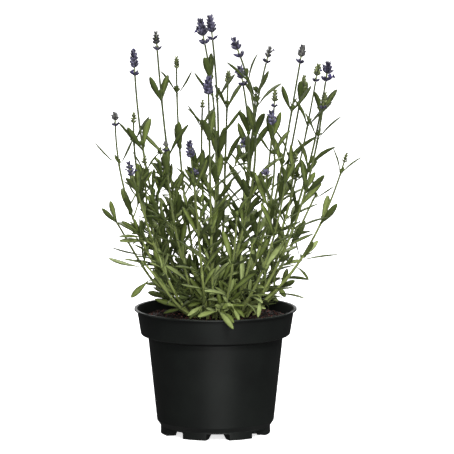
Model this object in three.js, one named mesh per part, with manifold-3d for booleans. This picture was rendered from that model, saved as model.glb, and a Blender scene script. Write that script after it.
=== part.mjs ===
// A potted lavender in a black moulded nursery pot, in millimetres, +Z up.
// The origin is on the pot's axis, at the level that its feet stand on.
// The pot, the soil, each shoot with its leaves and each flower spike are solids of their own.
import * as THREE from "three";
import { mergeVertices } from "three/addons/utils/BufferGeometryUtils.js";
import Module from "manifold-3d";

const wasm = await Module();
wasm.setup();

// ---------------------------------------------------------------- driving dimensions

const POT = {
  height: 131, // feet to the top of the lip
  rimRadius: 85, // outside of the lip
  lipWidth: 3, // how far the lip stands out from the collar
  lipHeight: 2.6,
  collarHeight: 26, // lip to the underside of the collar
  collarTaper: 0.16, // how much the collar narrows per millimetre down
  ledge: 7.6, // step from the collar in to the wall
  ledgeDrop: 3.4, // height of the sloping ledge
  draft: 0.107, // how much the wall narrows per millimetre down
  wall: 1.4,
  floor: 1.6,
  stepIn: 3.8, // the wall steps in above its base band
  stepTop: 13.5,
  stepBottom: 8,
  footHeight: 6.8,
  footCount: 7, // feet round the edge, with a notch between each two
  footDepth: 10, // radial
  notchWidth: 27, // at the outer face
  notchTaper: 8.5, // how much narrower each side is at the inner face, at the top
  notchTurn: 2.3, // degrees from the front to the first notch
  centreFootRadius: 8,
  drainRadius: 4.5,
};
const SIDES = 35; // facets round the pot
const GAP = 0.3; // clearance between neighbouring pieces

const SOIL = {
  edgeDepth: 11, // below the lip, at the wall
  crownDepth: 7, // below the lip, in the middle
};

const PLANT = {
  halfWidth: 125, // nominal reach of the shoots from the pot's axis
  height: 310, // soil to the top of the highest spike
  rootSpread: 0.29, // shoots leave the soil this share of the way to where they end
  rootDepth: 12, // how far a shoot goes down into the soil
};
const NOMINAL = { halfWidth: 125, height: 310 }; // the size that the tables below are written for

// A shoot's bend: its two inner control points, as shares of the way from its root to its end.
const BEND = {
  outward: 0.5, // the first point's way out
  upward: 0.26, // and its way up
  straight: 0.42, // the second point is this share of the rise below the end, along the lean
  leanOut: 0.12, // lean to the back or front of a shoot that ends at the plant's edge
  footLean: 0.25, // share of its slope that a shoot keeps below the soil
};

const STEM = { baseRadius: 1.5, tipRadius: 0.8, sides: 4 };

const LEAF = {
  length: 36, // of a full leaf half way up a shoot
  endShare: 0.68, // leaves at a shoot's two ends are this share of that
  varies: 0.08, // each pair is this share longer than the last, in turns of three
  width: 7.4,
  narrowing: 0.5, // share of the width that a leaf of no length would lose
  thickness: 1.1,
  widest: 0.58, // share of the length at which it is widest
  arch: 0.05, // how far the leaf's widest part stands above its chord, as a share of its length
  petioleWidth: 1.3,
  petioleThickness: 1.1,
  topAngle: 30, // degrees between leaf and stem at the top of a shoot
  lowAngle: 62, // and at its foot
};

const NODES = {
  leafyBare: 3, // from a leafy shoot's end to its highest leaf pair
  internode: 54, // between the two highest leaf pairs
  shrink: 0.82, // each internode is this share of the one above it
  shortest: 32, // but none is shorter than this
  lowest: 16, // no pair is closer to the soil than this, along the shoot
};

// ---------------------------------------------------------------- the plant's shoots

// Flowering shoots. x, y and z are where the spike starts, from the pot's axis and the soil;
// leanX is the spike's slope to the right; head and width are the spike's size; bare is the
// length of stem under it with no leaves; turn is the first leaf pair's direction in degrees.
const FLOWERING = [
  { x: -104, y: -12, z: 200, leanX: -0.03, head: 15, width: 9, bare: 38, turn: 5 },
  { x: -84, y: 22, z: 249, leanX: -0.06, head: 27, width: 10, bare: 70, turn: 60 },
  { x: -61, y: 50, z: 272, leanX: -0.08, head: 20, width: 9, bare: 46, turn: 62 },
  { x: -41, y: 84, z: 249, leanX: 0.0, head: 13, width: 7, bare: 24, turn: 3 },
  { x: -11, y: 12, z: 283, leanX: -0.2, head: 27, width: 12, bare: 34, turn: 80 },
  { x: -3, y: 46, z: 283, leanX: -0.11, head: 27, width: 11, bare: 54, turn: 12 },
  { x: -7, y: -70, z: 241, leanX: -0.02, head: 19, width: 12, bare: 44, turn: 75 },
  { x: 13, y: 88, z: 233, leanX: 0.04, head: 13, width: 8, bare: 24, turn: 35 },
  { x: 26, y: -18, z: 273, leanX: -0.38, head: 22, width: 12, bare: 24, turn: 20 },
  { x: 29, y: 22, z: 238, leanX: -0.18, head: 22, width: 11, bare: 46, turn: 65 },
  { x: 53, y: 54, z: 258, leanX: 0.26, head: 18, width: 9, bare: 42, turn: 8 },
  { x: 61, y: 8, z: 217, leanX: 0.06, head: 19, width: 8, bare: 30, turn: 70 },
  { x: 59, y: -66, z: 209, leanX: -0.12, head: 15, width: 11, bare: 30, turn: 25 },
  { x: 88, y: 26, z: 261, leanX: 0.17, head: 20, width: 10, bare: 44, turn: 40 },
  { x: 91, y: 66, z: 229, leanX: 0.18, head: 15, width: 8, bare: 14, turn: 75 },
  { x: 104, y: -8, z: 246, leanX: 0.17, head: 19, width: 9, bare: 42, turn: 15 },
  { x: 115, y: 28, z: 242, leanX: 0.15, head: 21, width: 12, bare: 32, turn: 50 },
  { x: 111, y: -42, z: 222, leanX: 0.14, head: 18, width: 8, bare: 30, turn: 5 },
  { x: 134, y: 4, z: 160, leanX: 0.3, head: 11, width: 6, bare: 14, turn: 10 },
  { x: -86, y: 62, z: 194, leanX: 0.02, head: 11, width: 7, bare: 20, turn: 15 },
  { x: -86, y: -52, z: 154, leanX: -0.3, head: 15, width: 9, bare: 20, turn: 70 },
  { x: -51, y: -40, z: 177, leanX: -0.05, head: 11, width: 8, bare: 22, turn: 85 },
  { x: -25, y: -88, z: 178, leanX: -0.12, head: 18, width: 11, bare: 30, turn: 35 },
  { x: -14, y: 100, z: 205, leanX: 0.04, head: 9, width: 6, bare: 20, turn: 20 },
];

// Leafy shoots. x, y and z are where the stem ends; leanX and turn are as above.
const LEAFY = [
  { x: 42, y: 84, z: 222, leanX: 0.05, turn: 40 },
  { x: -73, y: 6, z: 150, leanX: 0.05, turn: 10 },
  { x: 72, y: -78, z: 150, leanX: 0.15, turn: 60 },
  { x: 22, y: -98, z: 118, leanX: 0.05, turn: 30 },
  { x: -104, y: 18, z: 96, leanX: -0.6, turn: 70 },
  { x: -72, y: -62, z: 62, leanX: -0.9, turn: 20 },
  { x: 92, y: -26, z: 66, leanX: 0.8, turn: 75 },
  { x: 104, y: 44, z: 118, leanX: 0.5, turn: 5 },
  { x: -68, y: 88, z: 120, leanX: -0.3, turn: 50 },
  { x: 38, y: -58, z: 84, leanX: 0.1, turn: 15 },
];

// ---------------------------------------------------------------- solids

// A closed three.js geometry as a manifold-3d solid.
function solidOf(geometry) {
  const bare = geometry.clone();
  bare.deleteAttribute("normal");
  bare.deleteAttribute("uv");
  const merged = mergeVertices(bare, 1e-4);
  return new wasm.Manifold(
    new wasm.Mesh({
      numProp: 3,
      vertProperties: new Float32Array(merged.attributes.position.array),
      triVerts: new Uint32Array(merged.index.array),
    }),
  );
}

// A manifold-3d solid as a three.js geometry.
function geometryOf(solid) {
  const mesh = solid.getMesh();
  const geometry = new THREE.BufferGeometry();
  geometry.setAttribute("position", new THREE.BufferAttribute(mesh.vertProperties, 3));
  geometry.setIndex(new THREE.BufferAttribute(mesh.triVerts, 1));
  const flat = geometry.toNonIndexed();
  flat.computeVertexNormals();
  return flat;
}

// A solid turned about the Z axis, from [radius, height] pairs that start and end on the axis.
function turned(profile) {
  const points = profile.map(([radius, height]) => new THREE.Vector2(radius, height));
  const lathe = new THREE.LatheGeometry(points, SIDES);
  lathe.rotateX(Math.PI / 2); // the lathe's Y becomes Z
  return solidOf(lathe);
}

// A solid skin over rings of points: each ring has as many points, going round the same way.
// A first or last ring of one point closes to a tip; any other is capped flat.
function skinned(rings) {
  const positions = rings.flat().flatMap((p) => [p.x, p.y, p.z]);
  const starts = rings.map((_, i) => rings.slice(0, i).reduce((n, r) => n + r.length, 0));
  const faces = [];
  for (let i = 0; i + 1 < rings.length; i++) {
    const [a, b] = [rings[i], rings[i + 1]];
    const round = Math.max(a.length, b.length);
    for (let k = 0; k < round; k++) {
      const next = (k + 1) % round;
      const at = (ring, start, j) => start + (ring.length === 1 ? 0 : j);
      const [a0, a1] = [at(a, starts[i], k), at(a, starts[i], next)];
      const [b0, b1] = [at(b, starts[i + 1], k), at(b, starts[i + 1], next)];
      if (a0 !== a1) faces.push(a0, a1, b0);
      if (b0 !== b1) faces.push(a1, b1, b0);
    }
  }
  const cap = (ring, start, outward) => {
    for (let k = 1; k + 1 < ring.length; k++) {
      faces.push(...(outward ? [start, start + k, start + k + 1] : [start, start + k + 1, start + k]));
    }
  };
  cap(rings[0], 0, false);
  cap(rings.at(-1), starts.at(-1), true);
  const geometry = new THREE.BufferGeometry();
  geometry.setAttribute("position", new THREE.Float32BufferAttribute(positions, 3));
  geometry.setIndex(faces);
  const solid = solidOf(geometry);
  return solid.volume() < 0 ? solidOf(flipped(geometry)) : solid;
}

// The same geometry with every face turned round.
function flipped(geometry) {
  const other = geometry.clone();
  const order = Array.from(geometry.index.array);
  for (let i = 0; i < order.length; i += 3) [order[i], order[i + 1]] = [order[i + 1], order[i]];
  other.setIndex(order);
  return other;
}

// ---------------------------------------------------------------- pot and soil

const radians = THREE.MathUtils.degToRad;
const lipBottom = POT.height - POT.lipHeight;
const ledgeTop = POT.height - POT.collarHeight;
const ledgeBottom = ledgeTop - POT.ledgeDrop;
const collarRadius = (z) => POT.rimRadius - POT.lipWidth - POT.collarTaper * (lipBottom - z);
const wallRadius = (z) => collarRadius(ledgeTop) - POT.ledge - POT.draft * (ledgeBottom - z);
const baseRadius = wallRadius(POT.stepTop) - POT.stepIn;
const floorTop = POT.footHeight + POT.floor;

// The pot's inner face, from the middle of the floor up to z, moved in by a gap.
function innerProfile(top, gap) {
  const skin = POT.wall + gap;
  const bottom = floorTop + gap;
  return [
    [0, bottom],
    [baseRadius - skin, bottom],
    [baseRadius - skin, Math.max(POT.stepBottom + POT.wall, bottom + 1)],
    [wallRadius(POT.stepTop) - skin, Math.max(POT.stepTop + POT.wall, bottom + 2)],
    [wallRadius(ledgeBottom) - skin, ledgeBottom + skin],
    [collarRadius(ledgeTop) - skin, ledgeTop + skin],
    [collarRadius(top) - skin, top],
  ];
}

// The direction of the middle of a notch between two feet; the first is at the front.
const notchAngle = (index) => (index * 2 * Math.PI) / POT.footCount + radians(POT.notchTurn - 90);

// A notch through the foot ring, wider at its outer end than at its inner one.
function notch(index) {
  const outer = baseRadius + 1;
  const inner = baseRadius - POT.footDepth - 1;
  const halfOuter = POT.notchWidth / 2;
  const halfTop = halfOuter - POT.notchTaper;
  const corners = (z, halfInner) => [
    new THREE.Vector3(inner, -halfInner, z),
    new THREE.Vector3(outer, -halfOuter, z),
    new THREE.Vector3(outer, halfOuter, z),
    new THREE.Vector3(inner, halfInner, z),
  ];
  const turn = new THREE.Vector3(0, 0, 1);
  const placed = (ring) => ring.map((p) => p.applyAxisAngle(turn, notchAngle(index)));
  const lower = placed(corners(-1, (halfOuter + halfTop) / 2));
  return skinned([lower, placed(corners(POT.footHeight, halfTop))]);
}

function drainHole(index) {
  const hole = new THREE.CylinderGeometry(POT.drainRadius, POT.drainRadius, 3 * POT.floor, 10);
  hole.rotateX(Math.PI / 2);
  const radius = baseRadius - POT.wall - POT.drainRadius - 1;
  const angle = notchAngle(index);
  hole.translate(radius * Math.cos(angle), radius * Math.sin(angle), POT.footHeight + POT.floor / 2);
  return solidOf(hole);
}

function makePot() {
  const outside = [
    [0, 0],
    [POT.centreFootRadius, 0],
    [POT.centreFootRadius, POT.footHeight],
    [baseRadius - POT.footDepth, POT.footHeight],
    [baseRadius - POT.footDepth, 0],
    [baseRadius, 0],
    [baseRadius, POT.stepBottom],
    [wallRadius(POT.stepTop), POT.stepTop],
    [wallRadius(ledgeBottom), ledgeBottom],
    [collarRadius(ledgeTop), ledgeTop],
    [collarRadius(lipBottom), lipBottom],
    [POT.rimRadius, POT.height - POT.wall],
    [POT.rimRadius, POT.height],
  ];
  const mouth = collarRadius(POT.height) - POT.wall + 1;
  let pot = turned([...outside, [mouth, POT.height], ...innerProfile(lipBottom, 0).reverse()]);
  for (let i = 0; i < POT.footCount; i++) {
    pot = pot.subtract(notch(i)).subtract(drainHole(i));
  }
  return pot;
}

const soilEdge = POT.height - SOIL.edgeDepth;
const soilCrown = POT.height - SOIL.crownDepth;
const soilRadius = collarRadius(soilEdge) - POT.wall - GAP;

// Height of the soil at a distance from the axis.
function soilHeight(radius) {
  const share = Math.min(1, radius / soilRadius);
  return soilCrown - (soilCrown - soilEdge) * share * share;
}

function makeSoil(sockets) {
  const dome = [1, 0.8, 0.55, 0.3].map((share) => [share * soilRadius, soilHeight(share * soilRadius)]);
  const body = innerProfile(soilEdge, GAP).slice(0, -1);
  let soil = turned([...body, ...dome, [0, soilCrown]]);
  for (const socket of sockets) soil = soil.subtract(socket);
  return soil;
}

// ---------------------------------------------------------------- shoots

// Where a shoot runs: from the soil out to its place and up to its end.
class Route {
  constructor(row) {
    const across = PLANT.halfWidth / NOMINAL.halfWidth;
    const up = PLANT.height / NOMINAL.height;
    const end = new THREE.Vector3(row.x * across, row.y * across, soilCrown + row.z * up);
    const root = new THREE.Vector3(end.x * PLANT.rootSpread, end.y * PLANT.rootSpread, 0);
    root.z = soilHeight(Math.hypot(root.x, root.y));
    const reach = end.clone().sub(root);
    const leanY = (BEND.leanOut * row.y) / NOMINAL.halfWidth;
    this.lean = new THREE.Vector3(row.leanX, leanY, 1).normalize();
    const shares = new THREE.Vector3(BEND.outward, BEND.outward, BEND.upward);
    const first = root.clone().add(shares.multiply(reach));
    const second = end.clone().addScaledVector(this.lean, -BEND.straight * reach.z);
    this.curve = new THREE.CubicBezierCurve3(root, first, second, end);
    this.length = this.curve.getLength();
    this.root = root;
    this.end = end;
  }
  // The point and direction a share of the way up the shoot.
  at(share) {
    return { point: this.curve.getPoint(share), tangent: this.curve.getTangent(share) };
  }
  radius(share) {
    return THREE.MathUtils.lerp(STEM.baseRadius, STEM.tipRadius, share);
  }
}

// Two directions square to a stem's tangent. The first stays near the world's X.
function acrossStem(tangent) {
  const side = new THREE.Vector3(1, 0, 0).addScaledVector(tangent, -tangent.x).normalize();
  return { side, front: tangent.clone().cross(side) };
}

function ringRound(point, tangent, radius, sides) {
  const { side, front } = acrossStem(tangent);
  return Array.from({ length: sides }, (_, k) => {
    const a = ((k + 0.5) * 2 * Math.PI) / sides;
    return point
      .clone()
      .addScaledVector(side, radius * Math.cos(a))
      .addScaledVector(front, radius * Math.sin(a));
  });
}

// Shares of a shoot's route at which its stem has corners: where it leaves the soil, its leaf
// nodes and its end.
const corners = (shoot) => [0, ...shoot.shares.toReversed(), 1];

// The stem's rings from its foot in the soil to its end, wider all round by grow.
function stemRings(shoot, grow) {
  const { route } = shoot;
  const ring = (share) => {
    const { point, tangent } = route.at(share);
    return ringRound(point, tangent, route.radius(share) + grow, STEM.sides);
  };
  const depth = PLANT.rootDepth + (grow ? GAP : 0);
  const down = route.at(0).tangent;
  down.set(BEND.footLean * down.x, BEND.footLean * down.y, down.z).normalize();
  const foot = route.root.clone().addScaledVector(down, -depth);
  return [ringRound(foot, down, STEM.baseRadius + grow, STEM.sides), ...corners(shoot).map(ring)];
}

// The hole in the soil that a shoot stands in. The stem is square, so its corners move out by
// more than its faces.
function socketSolid(shoot) {
  const [foot, mouth, above] = stemRings(shoot, GAP * Math.SQRT2);
  return skinned([foot, mouth, mouth.map((p, i) => p.clone().lerp(above[i], 0.5))]);
}

// ---------------------------------------------------------------- leaves

// Where clearances are measured: shares of a leaf's length, and millimetres along a stem.
const LEAF_POINTS = [0.16, 0.28, 0.4, 0.52, 0.64, 0.76, 0.88, 1];
const STEM_STEP = 3;

// One leaf: its base on the stem's axis, its bend and its tip, with its width and upper side.
class Leaf {
  constructor(stemPoint, tangent, azimuth, angle, length, width) {
    const { side, front } = acrossStem(tangent);
    const out = side.multiplyScalar(Math.cos(azimuth)).addScaledVector(front, Math.sin(azimuth));
    const along = tangent.clone().multiplyScalar(Math.cos(angle));
    along.addScaledVector(out, Math.sin(angle));
    const upper = tangent.clone().addScaledVector(along, -tangent.dot(along)).normalize();
    this.base = stemPoint.clone();
    this.bend = stemPoint.clone().addScaledVector(along, LEAF.widest * length);
    this.bend.addScaledVector(upper, LEAF.arch * length);
    this.tip = stemPoint.clone().addScaledVector(along, length);
    this.tangent = tangent;
    this.upper = upper;
    this.across = along.clone().cross(upper);
    this.width = width;
  }
  // Points along the leaf clear of its stem, each with the radius that it needs round it.
  spheres() {
    const half = this.width / 2;
    return LEAF_POINTS.map((share) => {
      if (share < LEAF.widest) {
        const up = share / LEAF.widest;
        const radius = half * (0.3 + 0.7 * up);
        return { point: this.base.clone().lerp(this.bend, up), radius };
      }
      const on = (share - LEAF.widest) / (1 - LEAF.widest);
      return { point: this.bend.clone().lerp(this.tip, on), radius: half * (1 - 0.75 * on) };
    });
  }
  // Sections from the tip to the widest part, or back: left edge, right edge, keel.
  blade(fromTip) {
    const half = this.across.clone().multiplyScalar(fromTip ? -this.width / 2 : this.width / 2);
    const widest = [
      this.bend.clone().add(half),
      this.bend.clone().sub(half),
      this.bend.clone().addScaledVector(this.upper, -LEAF.thickness),
    ];
    return fromTip ? [[this.tip], widest] : [widest, [this.tip]];
  }
  // The section on the stem's axis that the leaves of a pair share.
  joint() {
    const half = this.across.clone().multiplyScalar(-LEAF.petioleWidth / 2);
    const keel = this.base.clone().addScaledVector(this.tangent, -LEAF.petioleThickness);
    return [this.base.clone().add(half), this.base.clone().sub(half), keel];
  }
}

// The leaves of a pair as one solid that passes through the stem.
function pairSolid([first, second]) {
  const rest = second ? second.blade(false) : [];
  return skinned([...first.blade(true), first.joint(), ...rest]);
}

// Whether a sphere is clear of the pot and the soil.
function clearsPot({ point, radius }) {
  const room = radius + 2 * GAP;
  const fromAxis = Math.hypot(point.x, point.y);
  if (point.z > POT.height + room) return true;
  const mouth = collarRadius(soilEdge) - POT.wall;
  const inMouth = fromAxis < mouth - room && point.z > soilHeight(fromAxis) + room;
  return inMouth || fromAxis > POT.rimRadius + room;
}

function clears(spheres, others) {
  return spheres.every(({ point, radius }) =>
    others.every((o) => point.distanceTo(o.point) > radius + o.radius + GAP),
  );
}

// A leaf opens or closes a little, or stays smaller, where its neighbours leave it no room.
const OPENINGS = [0, -10, 12].map(radians);
const SIZES = [1, 0.8, 0.62, 0.46, 0.33, 0.22];

function growLeaf(stemPoint, tangent, azimuth, angle, length, obstacles) {
  for (const size of SIZES) {
    for (const opening of OPENINGS) {
      const width = LEAF.width * (1 - LEAF.narrowing * (1 - (size * length) / LEAF.length));
      const leaf = new Leaf(stemPoint, tangent, azimuth, angle + opening, length * size, width);
      const spheres = leaf.spheres();
      if (spheres.every(clearsPot) && clears(spheres, obstacles)) return { leaf, size };
    }
  }
  return { leaf: null, size: 0 };
}

// ---------------------------------------------------------------- growing the plant

// Points along a stem and its spike, each with the radius that it needs round it.
function stemSpheres(shoot) {
  const { row, route } = shoot;
  const line = corners(shoot).map((share) => ({ share, point: route.at(share).point }));
  const found = [];
  for (let i = 0; i + 1 < line.length; i++) {
    const steps = Math.ceil(line[i].point.distanceTo(line[i + 1].point) / STEM_STEP);
    for (let k = 0; k <= steps; k++) {
      const point = line[i].point.clone().lerp(line[i + 1].point, k / steps);
      found.push({ point, radius: route.radius(line[i].share) });
    }
  }
  if (row.head) {
    const beads = Math.ceil(row.head / STEM_STEP);
    for (let i = 0; i <= beads; i++) {
      const point = route.end.clone().addScaledVector(route.lean, GAP + (row.head * i) / beads);
      found.push({ point, radius: row.width / 2 });
    }
  }
  return found;
}

// Where a shoot's leaf pairs sit, as shares of its length, highest first.
function nodeShares(shoot) {
  const found = [];
  let below = shoot.row.bare ?? NODES.leafyBare;
  let internode = NODES.internode;
  while (shoot.route.length - below > NODES.lowest) {
    found.push(1 - below / shoot.route.length);
    below += internode;
    internode = Math.max(NODES.shortest, NODES.shrink * internode);
  }
  return found;
}

// Every shoot with its leaves. The highest pair of every shoot grows first, then the next.
function growPlant() {
  const named = (rows, name) =>
    rows.map((row, i) => ({ name: `${name}_${String(i + 1).padStart(2, "0")}`, row }));
  const shoots = [...named(FLOWERING, "flower_stem"), ...named(LEAFY, "leafy_shoot")];
  for (const shoot of shoots) {
    shoot.route = new Route(shoot.row);
    shoot.pairs = [];
    shoot.shares = nodeShares(shoot);
    shoot.spheres = stemSpheres(shoot);
  }
  const rounds = Math.max(...shoots.map((s) => s.shares.length));
  for (let pair = 0; pair < rounds; pair++) {
    for (const shoot of shoots) {
      if (pair < shoot.shares.length) growPair(shoot, pair, shoots);
    }
  }
  return shoots;
}

// A pair of leaves turns round the stem to where it has the most room.
const PAIR_TURNS = [0, 22, -22, 44, -44];

function growPair(shoot, pair, shoots) {
  const share = shoot.shares[pair];
  const { point, tangent } = shoot.route.at(share);
  const obstacles = shoots.filter((s) => s !== shoot).flatMap((s) => s.spheres);
  const angle = radians(THREE.MathUtils.lerp(LEAF.lowAngle, LEAF.topAngle, share));
  const middling = LEAF.endShare + (1 - LEAF.endShare) * 4 * share * (1 - share);
  const length = LEAF.length * (middling + LEAF.varies * (pair % 3));
  const turns = PAIR_TURNS.map((turn) => {
    const azimuth = radians(shoot.row.turn + turn) + (pair * Math.PI) / 2;
    return [azimuth, azimuth + Math.PI].map((a) => growLeaf(point, tangent, a, angle, length, obstacles));
  });
  const room = (found) => found[0].size + found[1].size;
  const best = turns.reduce((most, found) => (room(found) > room(most) ? found : most));
  const leaves = best.filter(({ leaf }) => leaf).map(({ leaf }) => leaf);
  if (leaves.length) shoot.pairs.push(leaves);
  shoot.spheres.push(...leaves.flatMap((leaf) => leaf.spheres()));
}

function shootSolid(shoot) {
  let solid = skinned(stemRings(shoot, 0));
  for (const pair of shoot.pairs) solid = solid.add(pairSolid(pair));
  return solid;
}

// A flower spike's outline: shares of its height and of its width. There is a waist above the
// lowest whorl.
const SPIKE = [
  [0, 0.22],
  [0.12, 0.85],
  [0.24, 0.5],
  [0.42, 1],
  [0.72, 0.88],
];
const SPIKE_SIDES = 5;

function spikeSolid(shoot) {
  const { row, route } = shoot;
  const place = (share) => route.end.clone().addScaledVector(route.lean, GAP + share * row.head);
  const rings = SPIKE.map(([share, girth]) =>
    ringRound(place(share), route.lean, (girth * row.width) / 2, SPIKE_SIDES),
  );
  return skinned([...rings, [place(1)]]);
}

// ---------------------------------------------------------------- the scene

const MATERIALS = {
  pot: new THREE.MeshStandardMaterial({ color: 0x222322, roughness: 0.5, metalness: 0 }),
  soil: new THREE.MeshStandardMaterial({ color: 0x2a1c15, roughness: 0.95, metalness: 0 }),
  foliage: new THREE.MeshStandardMaterial({ color: 0x5f7340, roughness: 0.6, metalness: 0 }),
  flower: new THREE.MeshStandardMaterial({ color: 0x4a4468, roughness: 0.7, metalness: 0 }),
};

const lavender = new THREE.Group();

function addPiece(name, solid, material) {
  const mesh = new THREE.Mesh(geometryOf(solid), material);
  mesh.name = name;
  lavender.add(mesh);
}

const shoots = growPlant();
addPiece("nursery_pot", makePot(), MATERIALS.pot);
addPiece("potting_soil", makeSoil(shoots.map(socketSolid)), MATERIALS.soil);
for (const shoot of shoots) {
  addPiece(shoot.name, shootSolid(shoot), MATERIALS.foliage);
  if (shoot.row.head) {
    addPiece(shoot.name.replace("stem", "spike"), spikeSolid(shoot), MATERIALS.flower);
  }
}

export default lavender;
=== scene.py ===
"""A potted lavender: a moulded nursery pot, peat soil, leafy shoots and flower spikes.

Lengths in the dataclasses and tables are in millimetres, as on a grower's drawing; meshes are in metres.
The shoots' table and their rule of growth are the same as those of the part's solids.
"""
import logging
import math
import random
from dataclasses import dataclass, field
from enum import Enum
from itertools import product
from typing import Any, Iterable, Optional, Sequence, Union

import bpy
import numpy as np
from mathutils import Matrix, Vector


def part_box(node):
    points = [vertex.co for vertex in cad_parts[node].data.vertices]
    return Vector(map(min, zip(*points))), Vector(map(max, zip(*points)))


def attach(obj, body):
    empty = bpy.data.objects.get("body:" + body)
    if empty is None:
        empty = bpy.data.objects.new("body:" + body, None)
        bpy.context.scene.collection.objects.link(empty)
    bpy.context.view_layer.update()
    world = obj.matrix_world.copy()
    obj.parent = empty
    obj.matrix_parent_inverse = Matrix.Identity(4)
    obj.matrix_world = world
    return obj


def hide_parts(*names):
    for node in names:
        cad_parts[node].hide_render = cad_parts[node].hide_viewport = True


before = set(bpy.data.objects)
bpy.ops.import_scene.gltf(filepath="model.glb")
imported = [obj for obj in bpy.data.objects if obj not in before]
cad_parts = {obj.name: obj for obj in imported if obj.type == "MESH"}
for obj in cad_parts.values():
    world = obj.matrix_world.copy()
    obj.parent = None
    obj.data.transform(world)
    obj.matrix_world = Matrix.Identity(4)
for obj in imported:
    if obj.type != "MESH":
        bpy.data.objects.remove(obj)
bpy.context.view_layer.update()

LOG = logging.getLogger("lavender")
MM = 0.001
SEED = 17
SOIL_EDGE_DEPTH = 11  # mm from the lip down to the soil at the wall
Array = np.ndarray
Socket = bpy.types.NodeSocket


# ------------------------------------------------------------------ colour and node helpers


def linear(hex_colour: str) -> tuple[float, float, float, float]:
    """Turn an sRGB hex colour into linear RGBA.

    Args:
        hex_colour: the colour as "#RRGGBB".

    Returns:
        Red, green, blue and an alpha of one, in linear light.
    """
    channels = [int(hex_colour[i : i + 2], 16) / 255 for i in (1, 3, 5)]
    rgb = [c / 12.92 if c <= 0.04045 else ((c + 0.055) / 1.055) ** 2.4 for c in channels]
    return (rgb[0], rgb[1], rgb[2], 1.0)


def fill_inputs(node: bpy.types.Node, **inputs: Any) -> None:
    """Set or link a node's inputs.

    Args:
        node: the node.
        inputs: an input's name, with _ for a space, or its number as _0, and its value or the socket
            that feeds it.
    """
    for name, value in inputs.items():
        key: Any = int(name[1:]) if name[1:].isdigit() else name.replace("_", " ")
        if isinstance(value, Socket):
            node.id_data.links.new(value, node.inputs[key])
        else:
            node.inputs[key].default_value = value


def add_node(
    tree: bpy.types.NodeTree, kind: str, settings: Optional[dict[str, Any]] = None, **inputs: Any
) -> Socket:
    """Add a shader node, set its properties and fill or link its inputs.

    Args:
        tree: the node tree that gets the node.
        kind: the node's type name without "ShaderNode".
        settings: the node's own properties; "out" is the output to return and "stops" are a colour
            ramp's places and hex colours.
        inputs: the inputs, as fill_inputs takes them.

    Returns:
        The output that "out" gives, or the first one.
    """
    node = tree.nodes.new("ShaderNode" + kind)
    own = dict(settings or {})
    out = own.pop("out", 0)
    for number, (place, colour) in enumerate(own.pop("stops", ())):
        elements = node.color_ramp.elements
        element = elements[number] if number < len(elements) else elements.new(place)
        element.position = place
        element.color = linear(colour)
    for name, value in own.items():
        setattr(node, name, value)
    fill_inputs(node, **inputs)
    return node.outputs[out]


MIX = {"data_type": "RGBA", "out": 2}  # inputs 6 and 7 are its colours
ADD = {"operation": "ADD"}
MULTIPLY = {"operation": "MULTIPLY"}
MULTIPLY_ADD = {"operation": "MULTIPLY_ADD"}
OWN_PLACE = {"out": "Object"}
TINT = {"attribute_name": "tint", "out": "Fac"}  # each copy's own tone


def new_material(name: str) -> tuple[bpy.types.Material, bpy.types.NodeTree, bpy.types.Node]:
    """Make a node material.

    Args:
        name: the material's name.

    Returns:
        The material, its node tree and its Principled shader.
    """
    material = bpy.data.materials.new(name)
    material.use_nodes = True
    tree = material.node_tree
    return material, tree, tree.nodes["Principled BSDF"]


def mottled_tone(tree: bpy.types.NodeTree, mottle: Socket, swing: float) -> Socket:
    """Vary a copy's own tone over its surface.

    Args:
        tree: the material's node tree.
        mottle: the pattern, from 0 to 1.
        swing: how far the pattern moves the tone, from end to end.

    Returns:
        The tone.
    """
    shade = add_node(tree, "Math", MULTIPLY_ADD, _0=mottle, _1=swing, _2=-swing / 2)
    return add_node(tree, "Math", ADD, _0=add_node(tree, "Attribute", TINT), _1=shade)


# ------------------------------------------------------------------ finishes


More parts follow.
